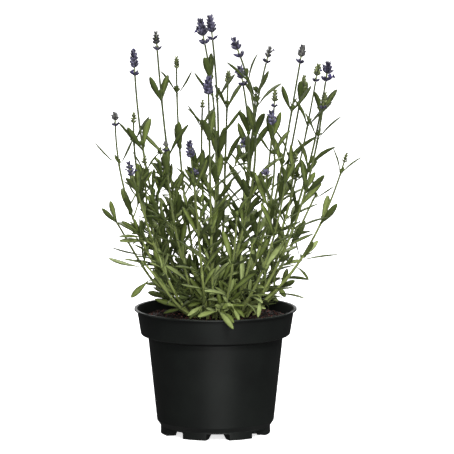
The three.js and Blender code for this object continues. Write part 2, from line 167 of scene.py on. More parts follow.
@dataclass(frozen=True)
class MouldedPolypropylene:
    """Black injection-moulded polypropylene: a soft, even sheen over a fine eroded grain, with painted
    highlight lines along the given edges.
    """

    name: str = "moulded_black_polypropylene"
    colour: str = "#121413"
    worn_colour: str = "#181B19"
    painted_highlight: str = "#2A2D2B"
    edges: tuple[tuple[float, float], ...] = ()  # mm: the height of each edge that gets a painted highlight line, and its band's
    roughness: float = 0.46
    specular: float = 0.22
    grain: float = 0.45  # mm; coarser than real spark-eroded grain, which is too fine to show
    flow: float = 38.0  # mm between the faint clouds that the melt leaves
    highlight_patch: float = 14.0  # mm between the patches where the painted highlight line is brightest

    def material(self) -> bpy.types.Material:
        """Build the material.

        Returns:
            The material.
        """
        material, tree, shader = new_material(self.name)
        place = add_node(tree, "TexCoord", OWN_PLACE)
        clouds = add_node(tree, "TexNoise", Vector=place, Scale=1 / (self.flow * MM), Detail=3.0)
        tones = {"stops": ((0.35, self.colour), (0.72, self.worn_colour))}
        plain = add_node(tree, "ValToRGB", tones, Fac=clouds)
        highlight_patches = add_node(tree, "TexNoise", Vector=place, Scale=1 / (self.highlight_patch * MM), Detail=2.0)
        uneven = add_node(tree, "MapRange", Value=highlight_patches, From_Min=0.36, From_Max=0.6, To_Min=0.15)
        height = add_node(tree, "SeparateXYZ", {"out": "Z"}, Vector=place)
        # Painted highlight: a paler line along each given edge, broken up in patches, where the edge
        # would catch the light.
        painted_highlight_bands: Union[float, Socket] = 0.0
        for edge, band in self.edges:
            near = add_node(
                tree, "Math", {"operation": "COMPARE"}, _0=height, _1=edge * MM, _2=band * MM
            )
            painted_highlight_bands = add_node(tree, "Math", {**ADD, "use_clamp": True}, _0=near, _1=painted_highlight_bands)
        share = add_node(tree, "Math", MULTIPLY, _0=painted_highlight_bands, _1=uneven)
        colour = add_node(tree, "Mix", MIX, _0=share, _6=plain, _7=linear(self.painted_highlight))
        grain = add_node(tree, "TexNoise", Vector=place, Scale=1 / (self.grain * MM), Detail=2.0)
        low, high = self.roughness - 0.05, self.roughness + 0.07
        gloss = add_node(tree, "MapRange", Value=grain, To_Min=low, To_Max=high)
        bump = add_node(tree, "Bump", Height=grain, Strength=0.12, Distance=0.1 * MM)
        fill_inputs(shader, Base_Color=colour, Roughness=gloss, Normal=bump)
        fill_inputs(shader, IOR=1.49, Specular_IOR_Level=self.specular)
        return material


@dataclass(frozen=True)
class MoistPeat:
    """Moist peat compost: black-brown crumbs with red-brown fibres, quite matte."""

    name: str = "moist_peat"
    dark: str = "#17110F"
    middle: str = "#35241F"
    red: str = "#744840"
    crumb: float = 1.6  # mm

    def material(self) -> bpy.types.Material:
        """Build the material.

        Returns:
            The material.
        """
        material, tree, shader = new_material(self.name)
        place = add_node(tree, "TexCoord", OWN_PLACE)
        crumbs = add_node(tree, "TexNoise", Vector=place, Scale=1 / (self.crumb * MM), Detail=4.0)
        tint = add_node(tree, "Attribute", TINT)
        own = add_node(tree, "Math", MULTIPLY_ADD, _0=tint, _1=0.55, _2=-0.08)
        tone = add_node(tree, "Math", MULTIPLY_ADD, _0=crumbs, _1=0.75, _2=own)
        tones = {"stops": ((0.3, self.dark), (0.58, self.middle), (0.86, self.red))}
        colour = add_node(tree, "ValToRGB", tones, Fac=tone)
        bump = add_node(tree, "Bump", Height=crumbs, Strength=0.6, Distance=0.6 * MM)
        fill_inputs(shader, Base_Color=colour, Normal=bump, Roughness=0.92, Specular_IOR_Level=0.25)
        return material


@dataclass(frozen=True)
class LavenderLeaf:
    """A lavender leaf: matte olive green under short felt, with a light midrib; its margins and its
    underside are darkened with painted shade.
    """

    name: str = "felted_lavender_leaf"
    deep: str = "#232D0B"
    middle: str = "#616E31"
    pale: str = "#98A56A"
    # The underside's own felted grey-green, made darker as painted shade.
    under: str = "#525F32"
    # The margins' colour is painted shade, dark where the rolled-under edges lie in shade.
    shaded_margin: str = "#232C10"
    midrib: str = "#7E8B55"
    mottle: float = 5.0  # mm
    felt: float = 0.7  # mm; coarser than the real hairs, which are too fine to show

    def material(self) -> bpy.types.Material:
        """Build the material.

        Returns:
            The material.
        """
        material, tree, shader = new_material(self.name)
        place = add_node(tree, "TexCoord", OWN_PLACE)
        mottle = add_node(tree, "TexNoise", Vector=place, Scale=1 / (self.mottle * MM), Detail=3.0)
        tones = {"stops": ((0.05, self.deep), (0.5, self.middle), (0.95, self.pale))}
        top = add_node(tree, "ValToRGB", tones, Fac=mottled_tone(tree, mottle, 0.5))
        across = add_node(tree, "Attribute", {"attribute_name": "across", "out": "Fac"})
        rib = add_node(tree, "MapRange", Value=across, From_Max=0.22, To_Min=0.4, To_Max=0.0)
        ribbed = add_node(tree, "Mix", MIX, _0=rib, _6=top, _7=linear(self.midrib))
        # Painted shade along the leaf's margins.
        edge = add_node(tree, "MapRange", Value=across, From_Min=0.6, To_Max=0.85)
        with_margin_shade = add_node(tree, "Mix", MIX, _0=edge, _6=ribbed, _7=linear(self.shaded_margin))
        # The underside takes its felted grey-green, darkened as painted shade.
        below = add_node(tree, "Attribute", {"attribute_name": "under", "out": "Fac"})
        share = add_node(tree, "Math", MULTIPLY, _0=below, _1=0.75)
        colour = add_node(tree, "Mix", MIX, _0=share, _6=with_margin_shade, _7=linear(self.under))
        felt = add_node(tree, "TexNoise", Vector=place, Scale=1 / (self.felt * MM), Detail=2.0)
        bump = add_node(tree, "Bump", Height=felt, Strength=0.25, Distance=0.15 * MM)
        fill_inputs(shader, Base_Color=colour, Normal=bump, Roughness=0.62)
        fill_inputs(shader, Specular_IOR_Level=0.18, Sheen_Weight=0.03)
        return material


@dataclass(frozen=True)
class Plain:
    """A soft plant tissue whose colour varies between two tones from piece to piece."""

    name: str
    dark: str
    light: str
    roughness: float = 0.6
    mottle: float = 2.5  # mm
    sheen: float = 0.1

    def material(self) -> bpy.types.Material:
        """Build the material.

        Returns:
            The material.
        """
        material, tree, shader = new_material(self.name)
        place = add_node(tree, "TexCoord", OWN_PLACE)
        mottle = add_node(tree, "TexNoise", Vector=place, Scale=1 / (self.mottle * MM), Detail=3.0)
        tones = {"stops": ((0.1, self.dark), (0.9, self.light))}
        colour = add_node(tree, "ValToRGB", tones, Fac=mottled_tone(tree, mottle, 0.6))
        bump = add_node(tree, "Bump", Height=mottle, Strength=0.3, Distance=0.2 * MM)
        fill_inputs(shader, Base_Color=colour, Normal=bump, Roughness=self.roughness)
        fill_inputs(shader, Specular_IOR_Level=0.35, Sheen_Weight=self.sheen)
        return material


# Young square stems: smoother than the leaves, so they carry a faint light along their edges.
STEM = Plain("square_green_stem", "#333D19", "#838F4E", 0.55, 6.0)
# Calyces under short hairs: matte and dusky; the paler tone, spread at random over copies and spots, is
# partly the hairs' own grey and partly painted highlight.
CALYX_VIOLET = Plain("felted_violet_calyx", "#120E26", "#6D6A83", 0.7, 1.4, 0.15)
CALYX_WHORL = Plain("felted_dark_violet_calyx", "#100B26", "#3F3B5C", 0.7, 1.4, 0.15)
CALYX_PALE = Plain("felted_light_violet_calyx", "#1D1936", "#76738E", 0.7, 1.4, 0.15)
CALYX_GREY = Plain("felted_grey_calyx", "#1E1D22", "#70706B", 0.7, 1.4, 0.2)
CALYX_GREEN = Plain("young_green_calyx", "#39431F", "#828C5A", 0.65, 1.4, 0.15)
# Petal tips: thin and smooth, the darkest and most coloured spots of a spike.
PETAL = Plain("dark_violet_petal_tip", "#16122E", "#352E60", 0.55, 1.2, 0.1)
# Bracts: dry and papery, so they are dull and brownish.
BRACT = Plain("papery_bract", "#4A4530", "#787356", 0.7, 1.5, 0.1)


# ------------------------------------------------------------------ modelling helpers


def deselect_all() -> None:
    """Leave object mode with nothing selected."""
    if bpy.context.mode != "OBJECT":
        bpy.ops.object.mode_set(mode="OBJECT")
    bpy.ops.object.select_all(action="DESELECT")


def active() -> bpy.types.Object:
    """The active object."""
    return bpy.context.view_layer.objects.active


def make_active(*objects: bpy.types.Object) -> None:
    """Select just these objects and make the first active."""
    deselect_all()
    for piece in objects:
        piece.select_set(True)
    bpy.context.view_layer.objects.active = objects[0]


def apply_modifier(piece: bpy.types.Object, kind: str, **settings: Any) -> None:
    """Add a modifier and apply it.

    Args:
        piece: the object to finish.
        kind: the modifier's type.
        settings: the modifier's own properties.
    """
    make_active(piece)
    modifier = piece.modifiers.new(kind.lower(), kind)
    for name, value in settings.items():
        setattr(modifier, name, value)
    bpy.ops.object.modifier_apply(modifier=modifier.name)


def stands_for(piece: bpy.types.Object, node: str) -> None:
    """Make a piece ride on the body and stand for a node, whose own part is hidden."""
    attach(piece, "root")
    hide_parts(node)


def new_object(name: str, data: bpy.types.ID) -> bpy.types.Object:
    """Put a new object into the scene.

    Args:
        name: the object's name.
        data: its mesh or curve.

    Returns:
        The object.
    """
    piece = bpy.data.objects.new(name, data)
    bpy.context.scene.collection.objects.link(piece)
    return piece


def turned(name: str, outline: Sequence[tuple[float, float]], sides: int) -> bpy.types.Object:
    """Model a turned shell by extruding a circle from station to station and closing it on the axis.

    Args:
        name: the object's name.
        outline: radius and height at each station, in millimetres, from the bottom's middle round the
            outside to the inside's middle.
        sides: facets round it.

    Returns:
        The closed shell, with its normals pointing out.
    """
    deselect_all()
    radius, height = outline[0]
    bpy.ops.mesh.primitive_circle_add(
        vertices=sides, radius=radius * MM, location=(0, 0, height * MM), fill_type="TRIFAN"
    )
    piece = active()
    bpy.ops.object.transform_apply(location=True)
    bpy.ops.object.mode_set(mode="EDIT")
    bpy.ops.mesh.select_mode(type="EDGE")
    bpy.ops.mesh.select_all(action="DESELECT")
    bpy.ops.mesh.select_non_manifold(extend=False)
    for next_radius, next_height in outline[1:]:
        rise = (next_height - height) * MM
        bpy.ops.mesh.extrude_region_move(TRANSFORM_OT_translate={"value": (0, 0, rise)})
        share = next_radius / radius
        bpy.ops.transform.resize(value=(share, share, 1), center_override=(0, 0, next_height * MM))
        radius, height = next_radius, next_height
    bpy.ops.mesh.edge_face_add()
    bpy.ops.mesh.poke()
    bpy.ops.mesh.select_all(action="SELECT")
    bpy.ops.mesh.normals_make_consistent(inside=False)
    bpy.ops.object.mode_set(mode="OBJECT")
    piece.name = name
    return piece


@dataclass
class Template:
    """A small shape that is modelled once and copied many times.

    Attributes:
        points: its vertices.
        faces: its faces as vertex numbers.
        values: a number for each vertex, by attribute name.
    """

    points: Array
    faces: list[list[int]]
    values: dict[str, Array]

    @classmethod
    def from_object(cls, piece: bpy.types.Object, **values: Array) -> "Template":
        """Take the shape from a modelled object, which is then deleted.

        Args:
            piece: the modelled object.
            values: a number for each vertex, by attribute name.

        Returns:
            The template.
        """
        points = np.array([v.co for v in piece.data.vertices])
        faces = [list(p.vertices) for p in piece.data.polygons]
        mesh = piece.data
        bpy.data.objects.remove(piece)
        bpy.data.meshes.remove(mesh)
        return cls(points, faces, values)


class Copies:
    """Copies of templates, gathered into one mesh."""

    NAMES = ("tint", "across", "under")

    def __init__(self) -> None:
        """Start with no copies."""
        self.points: list[Array] = []
        self.faces: list[list[int]] = []
        self.slots: list[int] = []
        self.values: dict[str, list[Array]] = {name: [] for name in self.NAMES}
        self.count = 0

    def add(self, template: Template, points: Array, slot: int, tint: float) -> None:
        """Add one copy.

        Args:
            template: the shape that is copied.
            points: where the copy's vertices lie, in metres.
            slot: the number of its material.
            tint: its own tone, from 0 to 1.
        """
        self.points.append(points)
        self.faces += [[v + self.count for v in face] for face in template.faces]
        self.slots += [slot] * len(template.faces)
        for name in self.NAMES:
            given = template.values.get(name, np.zeros(len(points)))
            self.values[name].append(np.full(len(points), tint) if name == "tint" else given)
        self.count += len(points)

    def piece(self, name: str, materials: Sequence[bpy.types.Material]) -> bpy.types.Object:
        """Make the mesh object.

        Args:
            name: the object's name.
            materials: its materials, in the order of the slot numbers.

        Returns:
            The object, smooth shaded.
        """
        mesh = bpy.data.meshes.new(name)
        mesh.from_pydata(np.vstack(self.points).tolist(), [], self.faces)
        for material in materials:
            mesh.materials.append(material)
        mesh.polygons.foreach_set("material_index", self.slots)
        mesh.polygons.foreach_set("use_smooth", [True] * len(self.faces))
        for attribute, values in self.values.items():
            layer = mesh.attributes.new(attribute, "FLOAT", "POINT")
            layer.data.foreach_set("value", np.concatenate(values).astype(np.float32))
        mesh.update()
        return new_object(name, mesh)


def unit(vector: Array) -> Array:
    """The vector at length one."""
    return vector / np.linalg.norm(vector)


def swung(first: Array, second: Array, angle: float) -> Array:
    """The direction at an angle from the first direction towards the second."""
    return first * math.cos(angle) + second * math.sin(angle)


def steps(count: int) -> Array:
    """Shares from 0 to 1 as a column of that many numbers."""
    return np.linspace(0, 1, count)[:, None]


def arc(start: Array, bend: Array, end: Array, count: int) -> Array:
    """Points on a simple curve.

    Args:
        start, bend, end: its control points.
        count: how many points.

    Returns:
        The points, one in each row.
    """
    share = steps(count)
    return start * (1 - share) ** 2 + bend * 2 * (1 - share) * share + end * share**2


# ------------------------------------------------------------------ the plant's shoots


class Bloom(Enum):
    """How far a flower spike has come."""

    BUD = "young green buds"
    BUDDING = "green buds over a violet whorl"
    CLOSED = "grey calyces over a violet whorl"
    OPEN = "violet calyces over a whorl that stands apart"
    PALE = "light violet calyces in one dense head"


@dataclass(frozen=True)
class ShootRow:
    """One shoot, in millimetres from the pot's axis and the top of the soil.

    Attributes:
        x, y, z: where its flower spike starts, or where a leafy shoot ends.
        lean_x: its slope to the right at that end.
        turn: the first leaf pair's direction in degrees.
        head: the height of its flower spike, or 0 on a leafy shoot.
        width: the width of its flower spike.
        bare: the length of stem under its end that has no leaves.
        bloom: how far the spike has come.
        sides: how many side shoots it bears among its leaves.
    """

    x: float
    y: float
    z: float
    lean_x: float
    turn: float
    head: float = 0.0
    width: float = 0.0
    bare: float = 3.0
    bloom: Bloom = Bloom.BUD
    sides: int = 0


FLOWERING = (
    ShootRow(-104, -12, 200, -0.03, 5, 15, 9, 38, Bloom.CLOSED, 1),
    ShootRow(-84, 22, 249, -0.06, 60, 27, 10, 70, Bloom.OPEN, 3),
    ShootRow(-61, 50, 272, -0.08, 62, 20, 9, 46, Bloom.CLOSED, 2),
    ShootRow(-41, 84, 249, 0.0, 3, 13, 7, 24, Bloom.BUD, 1),
    ShootRow(-11, 12, 283, -0.2, 80, 27, 12, 34, Bloom.OPEN),
    ShootRow(-3, 46, 283, -0.11, 12, 27, 11, 54, Bloom.OPEN),
    ShootRow(-7, -70, 241, -0.02, 75, 19, 12, 44, Bloom.PALE, 1),
    ShootRow(13, 88, 233, 0.04, 35, 13, 8, 24, Bloom.BUD),
    ShootRow(26, -18, 273, -0.38, 20, 22, 12, 24, Bloom.OPEN),
    ShootRow(29, 22, 238, -0.18, 65, 22, 11, 46, Bloom.OPEN),
    ShootRow(53, 54, 258, 0.26, 8, 18, 9, 42, Bloom.CLOSED),
    ShootRow(61, 8, 217, 0.06, 70, 19, 8, 30, Bloom.BUDDING),
    ShootRow(59, -66, 209, -0.12, 25, 15, 11, 30, Bloom.PALE),
    ShootRow(88, 26, 261, 0.17, 40, 20, 10, 44, Bloom.CLOSED),
    ShootRow(91, 66, 229, 0.18, 75, 15, 8, 14, Bloom.BUD),
    ShootRow(104, -8, 246, 0.17, 15, 19, 9, 42, Bloom.BUDDING),
    ShootRow(115, 28, 242, 0.15, 50, 21, 12, 32, Bloom.OPEN),
    ShootRow(111, -42, 222, 0.14, 5, 18, 8, 30, Bloom.BUDDING),
    ShootRow(134, 4, 160, 0.3, 10, 11, 6, 14, Bloom.BUD),
    ShootRow(-86, 62, 194, 0.02, 15, 11, 7, 20, Bloom.BUD, 2),
    ShootRow(-86, -52, 154, -0.3, 70, 15, 9, 20, Bloom.PALE, 3),
    ShootRow(-51, -40, 177, -0.05, 85, 11, 8, 22, Bloom.CLOSED, 2),
    ShootRow(-25, -88, 178, -0.12, 35, 18, 11, 30, Bloom.PALE, 1),
    ShootRow(-14, 100, 205, 0.04, 20, 9, 6, 20, Bloom.BUD),
)

LEAFY = (
    ShootRow(42, 84, 222, 0.05, 40),
    ShootRow(-73, 6, 150, 0.05, 10, sides=3),
    ShootRow(72, -78, 150, 0.15, 60),
    ShootRow(22, -98, 118, 0.05, 30),
    ShootRow(-104, 18, 96, -0.6, 70, sides=1),
    ShootRow(-72, -62, 62, -0.9, 20),
    ShootRow(92, -26, 66, 0.8, 75),
    ShootRow(104, 44, 118, 0.5, 5),
    ShootRow(-68, 88, 120, -0.3, 50, sides=2),
    ShootRow(38, -58, 84, 0.1, 15),
)

# Small late spikes on side shoots of their own.
LATE = (
    ShootRow(27, -60, 184, 0.12, 0, 8, 8, bloom=Bloom.PALE),
    ShootRow(-21, -62, 156, 0.1, 0, 6, 9, bloom=Bloom.PALE),
    ShootRow(52, -60, 156, -0.1, 0, 6, 9, bloom=Bloom.PALE),
    ShootRow(-74, -12, 161, 0.1, 0, 9, 7, bloom=Bloom.BUD),
    ShootRow(83, -22, 164, 0.15, 0, 9, 7, bloom=Bloom.BUD),
    ShootRow(30, 74, 168, 0.1, 0, 9, 8, bloom=Bloom.PALE),
    ShootRow(-58, 66, 160, -0.1, 0, 8, 7, bloom=Bloom.BUD),
)


@dataclass(frozen=True)
class Habit:
    """How the plant grows, in millimetres, degrees and shares; it repeats the solids' sizes.

    Attributes:
        root_spread: shoots leave the soil this share of the way to where they end.
        outward, upward, straight, lean_out: the bend of a shoot's curve.
        half_width: the reach that the table is written for.
        stem_base, stem_tip: the stem's radius at its foot and at its end.
        leaf_length, leaf_width: a full leaf's size half way up a shoot.
        end_share, varies: how much shorter leaves are at a shoot's ends, and how pairs differ.
        narrowing: the share of the width that a leaf of no length would lose.
        widest, arch: where a leaf is widest, and how far it stands above its chord there.
        top_angle, low_angle: the angle between leaf and stem at a shoot's top and foot.
        internode, shrink, shortest, lowest: the room between leaf pairs, from the top down.
        gap: the clearance between neighbours.
    """

    root_spread: float = 0.29
    outward: float = 0.5
    upward: float = 0.26
    straight: float = 0.42
    lean_out: float = 0.12
    half_width: float = 125.0
    stem_base: float = 1.5
    stem_tip: float = 0.8
    leaf_length: float = 36.0
    end_share: float = 0.68
    varies: float = 0.08
    leaf_width: float = 7.4
    narrowing: float = 0.5
    widest: float = 0.58
    arch: float = 0.05
    top_angle: float = 30.0
    low_angle: float = 62.0
    internode: float = 54.0
    shrink: float = 0.82
    shortest: float = 32.0
    lowest: float = 16.0
    gap: float = 0.3

    def width_at(self, length: float) -> float:
        """The width of a leaf of some length."""
        return self.leaf_width * (1 - self.narrowing * (1 - length / self.leaf_length))


HABIT = Habit()


@dataclass(frozen=True)
class Soil:
    """The soil's dome inside the pot, in millimetres, read from the frame."""

    crown: float
    edge: float
    radius: float

    def height(self, radius: float) -> float:
        """The soil's height at a distance from the axis."""
        share = min(1.0, radius / self.radius)
        return self.crown - (self.crown - self.edge) * share * share


class Route:
    """A shoot's curve from the soil to its end."""

    PARTS = 200  # that its length is measured in

    def __init__(self, row: ShootRow, soil: Soil) -> None:
        """Work out the curve's four control points.

        Args:
            row: the shoot's row in the table.
            soil: the soil that it grows from.
        """
        end = np.array([row.x, row.y, soil.crown + row.z])
        root = np.array([end[0] * HABIT.root_spread, end[1] * HABIT.root_spread, 0.0])
        root[2] = soil.height(math.hypot(root[0], root[1]))
        reach = end - root
        self.lean = unit(np.array([row.lean_x, HABIT.lean_out * row.y / HABIT.half_width, 1.0]))
        first = root + reach * np.array([HABIT.outward, HABIT.outward, HABIT.upward])
        second = end - self.lean * HABIT.straight * reach[2]
        self.control = (root, first, second, end)
        self.root, self.end = root, end
        places = np.array([self.point(i / self.PARTS) for i in range(self.PARTS + 1)])
        self.length = float(np.linalg.norm(np.diff(places, axis=0), axis=1).sum())

    def point(self, share: float) -> Array:
        """The point a share of the way up."""
        a, b, c, d = self.control
        rest = 1 - share
        return a * rest**3 + 3 * b * rest**2 * share + 3 * c * rest * share**2 + d * share**3

    def tangent(self, share: float) -> Array:
        """The direction a share of the way up."""
        a, b, c, d = self.control
        rest = 1 - share
        return unit((b - a) * rest**2 + 2 * (c - b) * rest * share + (d - c) * share**2)

    def radius(self, share: float) -> float:
        """The stem's radius a share of the way up."""
        return HABIT.stem_base + (HABIT.stem_tip - HABIT.stem_base) * share


def across_stem(tangent: Array) -> tuple[Array, Array]:
    """Two directions square to a stem; the first stays near the world's X."""
    side = unit(np.array([1.0, 0.0, 0.0]) - tangent * tangent[0])
    return side, np.cross(tangent, side)


@dataclass(frozen=True)
class Seat:
    """Where a leaf can grow.

    Attributes:
        base: the point on the stem's axis.
        tangent: the stem's direction there.
        azimuth: the leaf's direction round the stem, in radians.
        angle: the angle between leaf and stem, in radians.
    """

    base: Array
    tangent: Array
    azimuth: float
    angle: float


@dataclass(frozen=True)
class Manner:
    """How a leaf is fitted into the room that there is.

    Attributes:
        sizes: the shares of its full length that are tried in turn.
        openings: the changes of its angle that are tried at each size, in radians.
        own: whether the shoot's other leaves are in its way too.
        girth: the share of its width that must be clear of others.
        bare: whether it keeps off the soil that is seen bare.
    """

    sizes: tuple[float, ...] = (1.0, 0.8, 0.62, 0.46, 0.33, 0.22)
    openings: tuple[float, ...] = (0.0, math.radians(-10), math.radians(12))
    own: bool = False
    girth: float = 1.0
    bare: bool = False


MAIN = Manner()
EXTRA = Manner(own=True)
SIDE = Manner((1.0, 0.75, 0.55, 0.4), (0.0,), girth=0.4, bare=True)


@dataclass
class Leaf:
    """A leaf as it lies: all that is needed to lay a copy there.

    Attributes:
        base: the point on the stem's axis, in millimetres.
        along, upper: its direction and its upper side.
        length, width: its size.
        tint: its tone, from deep to pale.
        curl: how far it turns down from base to tip, in radians, or None where it varies by chance.
    """

    base: Array
    along: Array
    upper: Array
    length: float
    width: float
    tint: float = 0.5
    curl: Optional[float] = None

    POINTS = (0.16, 0.28, 0.4, 0.52, 0.64, 0.76, 0.88, 1.0)

    @classmethod
    def seated(cls, seat: Seat, opening: float, length: float) -> "Leaf":
        """Seat a leaf on a stem.

        Args:
            seat: where it sits.
            opening: how much wider its angle is than the seat's, in radians.
            length: its length in millimetres.

        Returns:
            The leaf.
        """
        out = swung(*across_stem(seat.tangent), seat.azimuth)
        along = swung(seat.tangent, out, seat.angle + opening)
        upper = unit(seat.tangent - along * float(seat.tangent @ along))
        return cls(seat.base, along, upper, length, HABIT.width_at(length))

    @property
    def tip(self) -> Array:
        """The leaf's tip, as if it were straight."""
        return self.base + self.along * self.length

    def spheres(self) -> list[tuple[Array, float]]:
        """Measure the room that the leaf takes.

        Returns:
            Points along the leaf clear of its stem, each with the radius that it needs round it.
        """
        bend = self.base + self.along * HABIT.widest * self.length
        bend = bend + self.upper * HABIT.arch * self.length
        half = self.width / 2
        found = []
        for share in self.POINTS:
            if share < HABIT.widest:
                up = share / HABIT.widest
                found.append((self.base + (bend - self.base) * up, half * (0.3 + 0.7 * up)))
            else:
                on = (share - HABIT.widest) / (1 - HABIT.widest)
                found.append((bend + (self.tip - bend) * on, half * (1 - 0.75 * on)))
        return found


class Crowd:
    """The space that stems, spikes and leaves already take, as spheres in a grid of cells."""

    CELL = 12.0
    SEAT = 7.0  # round a leaf's own seat its shoot doesn't crowd it

    def __init__(self) -> None:
        """Start empty."""
        self.cells: dict[tuple[int, ...], list[tuple[float, float, float, float, int]]] = {}

    def add(self, spheres: Iterable[tuple[Array, float]], owner: int) -> None:
        """Add a shoot's spheres."""
        for point, radius in spheres:
            key = tuple(int(c // self.CELL) for c in point)
            self.cells.setdefault(key, []).append((*(float(c) for c in point), radius, owner))

    def clears(
        self, spheres: Iterable[tuple[Array, float]], owner: int, near: Optional[Array] = None
    ) -> bool:
        """Whether spheres are clear of all that is there.

        Args:
            spheres: the spheres to test.
            owner: the shoot whose own spheres don't count.
            near: where given, the shoot's own spheres count too, but for those close to this point.

        Returns:
            True if none touches.
        """
        for point, radius in spheres:
            px, py, pz = (float(c) for c in point)
            cells = [[int(c // self.CELL) + step for step in (-1, 0, 1)] for c in (px, py, pz)]
            for key in product(*cells):
                for x, y, z, other, whose in self.cells.get(key, ()):
                    if whose == owner:
                        if near is None:
                            continue
                        if (x - near[0]) ** 2 + (y - near[1]) ** 2 + (z - near[2]) ** 2 < self.SEAT**2:
                            continue
                    room = radius + other + HABIT.gap
                    if (px - x) ** 2 + (py - y) ** 2 + (pz - z) ** 2 <= room * room:
                        return False
        return True


@dataclass
class Shoot:
    """A shoot as it grows: its route, where its leaf pairs sit and its leaves."""

    name: str
    row: ShootRow
    route: Route
    number: int
    shares: list[float] = field(default_factory=list)
    leaves: list[Leaf] = field(default_factory=list)
    branches: list[Array] = field(default_factory=list)


@dataclass(frozen=True)
class Spray:
    """A short side shoot low on the plant that arches out over the soil.

    Attributes:
        azimuth: its direction from the axis, in degrees from +X.
        start: its foot's distance from the axis.
        reach: its tip's distance from the axis.
        crest: how far its crest stands above the soil.
        drop: how far its tip hangs below the crest.
        leaf: its leaves' length.
        pairs: how many leaf pairs it has.
    """

    azimuth: float
    start: float
    reach: float
    crest: float
    drop: float
    leaf: float = 30.0
    pairs: int = 6

    def points(self, soil: Soil, count: int = 9) -> Array:
        """The arch's points, from foot to tip.

        Args:
            soil: the soil that it grows from.
            count: how many points.

        Returns:
            The points in millimetres.
        """
        angle = math.radians(self.azimuth)
        out = np.array([math.cos(angle), math.sin(angle), 0.0])
        up = np.array([0.0, 0.0, 1.0])
        foot = out * self.start + up * (soil.height(self.start) - 1.0)
        crest = soil.crown + self.crest
        span = self.reach - self.start
        first = out * (self.start + 0.25 * span) + up * (crest + 0.1 * self.crest)
        second = out * (self.start + 0.7 * span) + up * (crest + 0.25 * self.drop)
        tip = out * self.reach + up * (crest - self.drop)
        share = steps(count)
        rest = 1 - share
        low = foot * rest**3 + first * 3 * rest**2 * share
        return low + second * 3 * rest * share**2 + tip * share**3


# Low side shoots that hang over the lip or lie on the soil, all round the pot.
SPRAYS = (
    Spray(-88, 34, 66, 20, 5, 30, 5),
    Spray(-74, 30, 64, 22, 5, 32, 5),
    Spray(-106, 30, 60, 18, 5, 30, 4),
    Spray(-40, 24, 46, 22, 6, 30, 3),
    Spray(124, 32, 76, 26, 8, 32),
    Spray(97, 34, 82, 22, 8, 34),
    Spray(66, 32, 74, 26, 8, 32),
    Spray(34, 26, 56, 26, 6, 30, 4),
)


@dataclass(frozen=True)
class Hanging:
    """A long low leaf at the end of an arched side shoot, in millimetres from the pot's axis and base.

    Attributes:
        base, tip: where the leaf starts and ends.
        width: its width.
        curl: how far it turns down from base to tip, in radians.
        tint: its tone.
        facing: where its upper side is turned.
    """

    base: tuple[float, float, float]
    tip: tuple[float, float, float]
    width: float
    curl: float
    tint: float
    facing: tuple[float, float, float] = (0.0, 0.0, 1.0)


FRONT = (0.0, -0.9, 0.4)
FRONT_UP = (0.0, -0.6, 0.8)

HANGING = (
    Hanging((4, -72, 138), (18.5, -93, 123.6), 6.6, 1.3, 0.6, FRONT),
    Hanging((10, -70, 136.5), (19, -89, 129.5), 5.0, 0.9, 0.35, FRONT),
    Hanging((19, -68, 141), (24.5, -75, 130), 5.0, 0.5, 0.55, FRONT),
    Hanging((47, -58, 151), (44, -66, 131.5), 5.2, 0.4, 0.7, FRONT),
    Hanging((26, -64, 147), (42, -66, 134), 5.0, 1.4, 0.6),
    Hanging((1, -74, 139), (-18, -84, 135), 7.0, 0.4, 0.55, FRONT_UP),
    Hanging((-70, -10, 161), (-88, -13, 144), 6.6, 0.5, 0.4, FRONT),
    Hanging((64, -14, 157), (73, -16, 145), 6.0, 0.4, 0.25, FRONT),
    Hanging((82, -8, 177), (97, -12, 162), 5.0, 0.7, 0.2),
    Hanging((49, 38, 139), (66, 43, 131.5), 6.4, 0.6, 0.7, FRONT_UP),
    Hanging((-40, 66, 146), (-60, 84, 130), 7.0, 1.0, 0.8),
    Hanging((12, 74, 142), (20, 99, 122), 7.6, 1.2, 0.8),
)


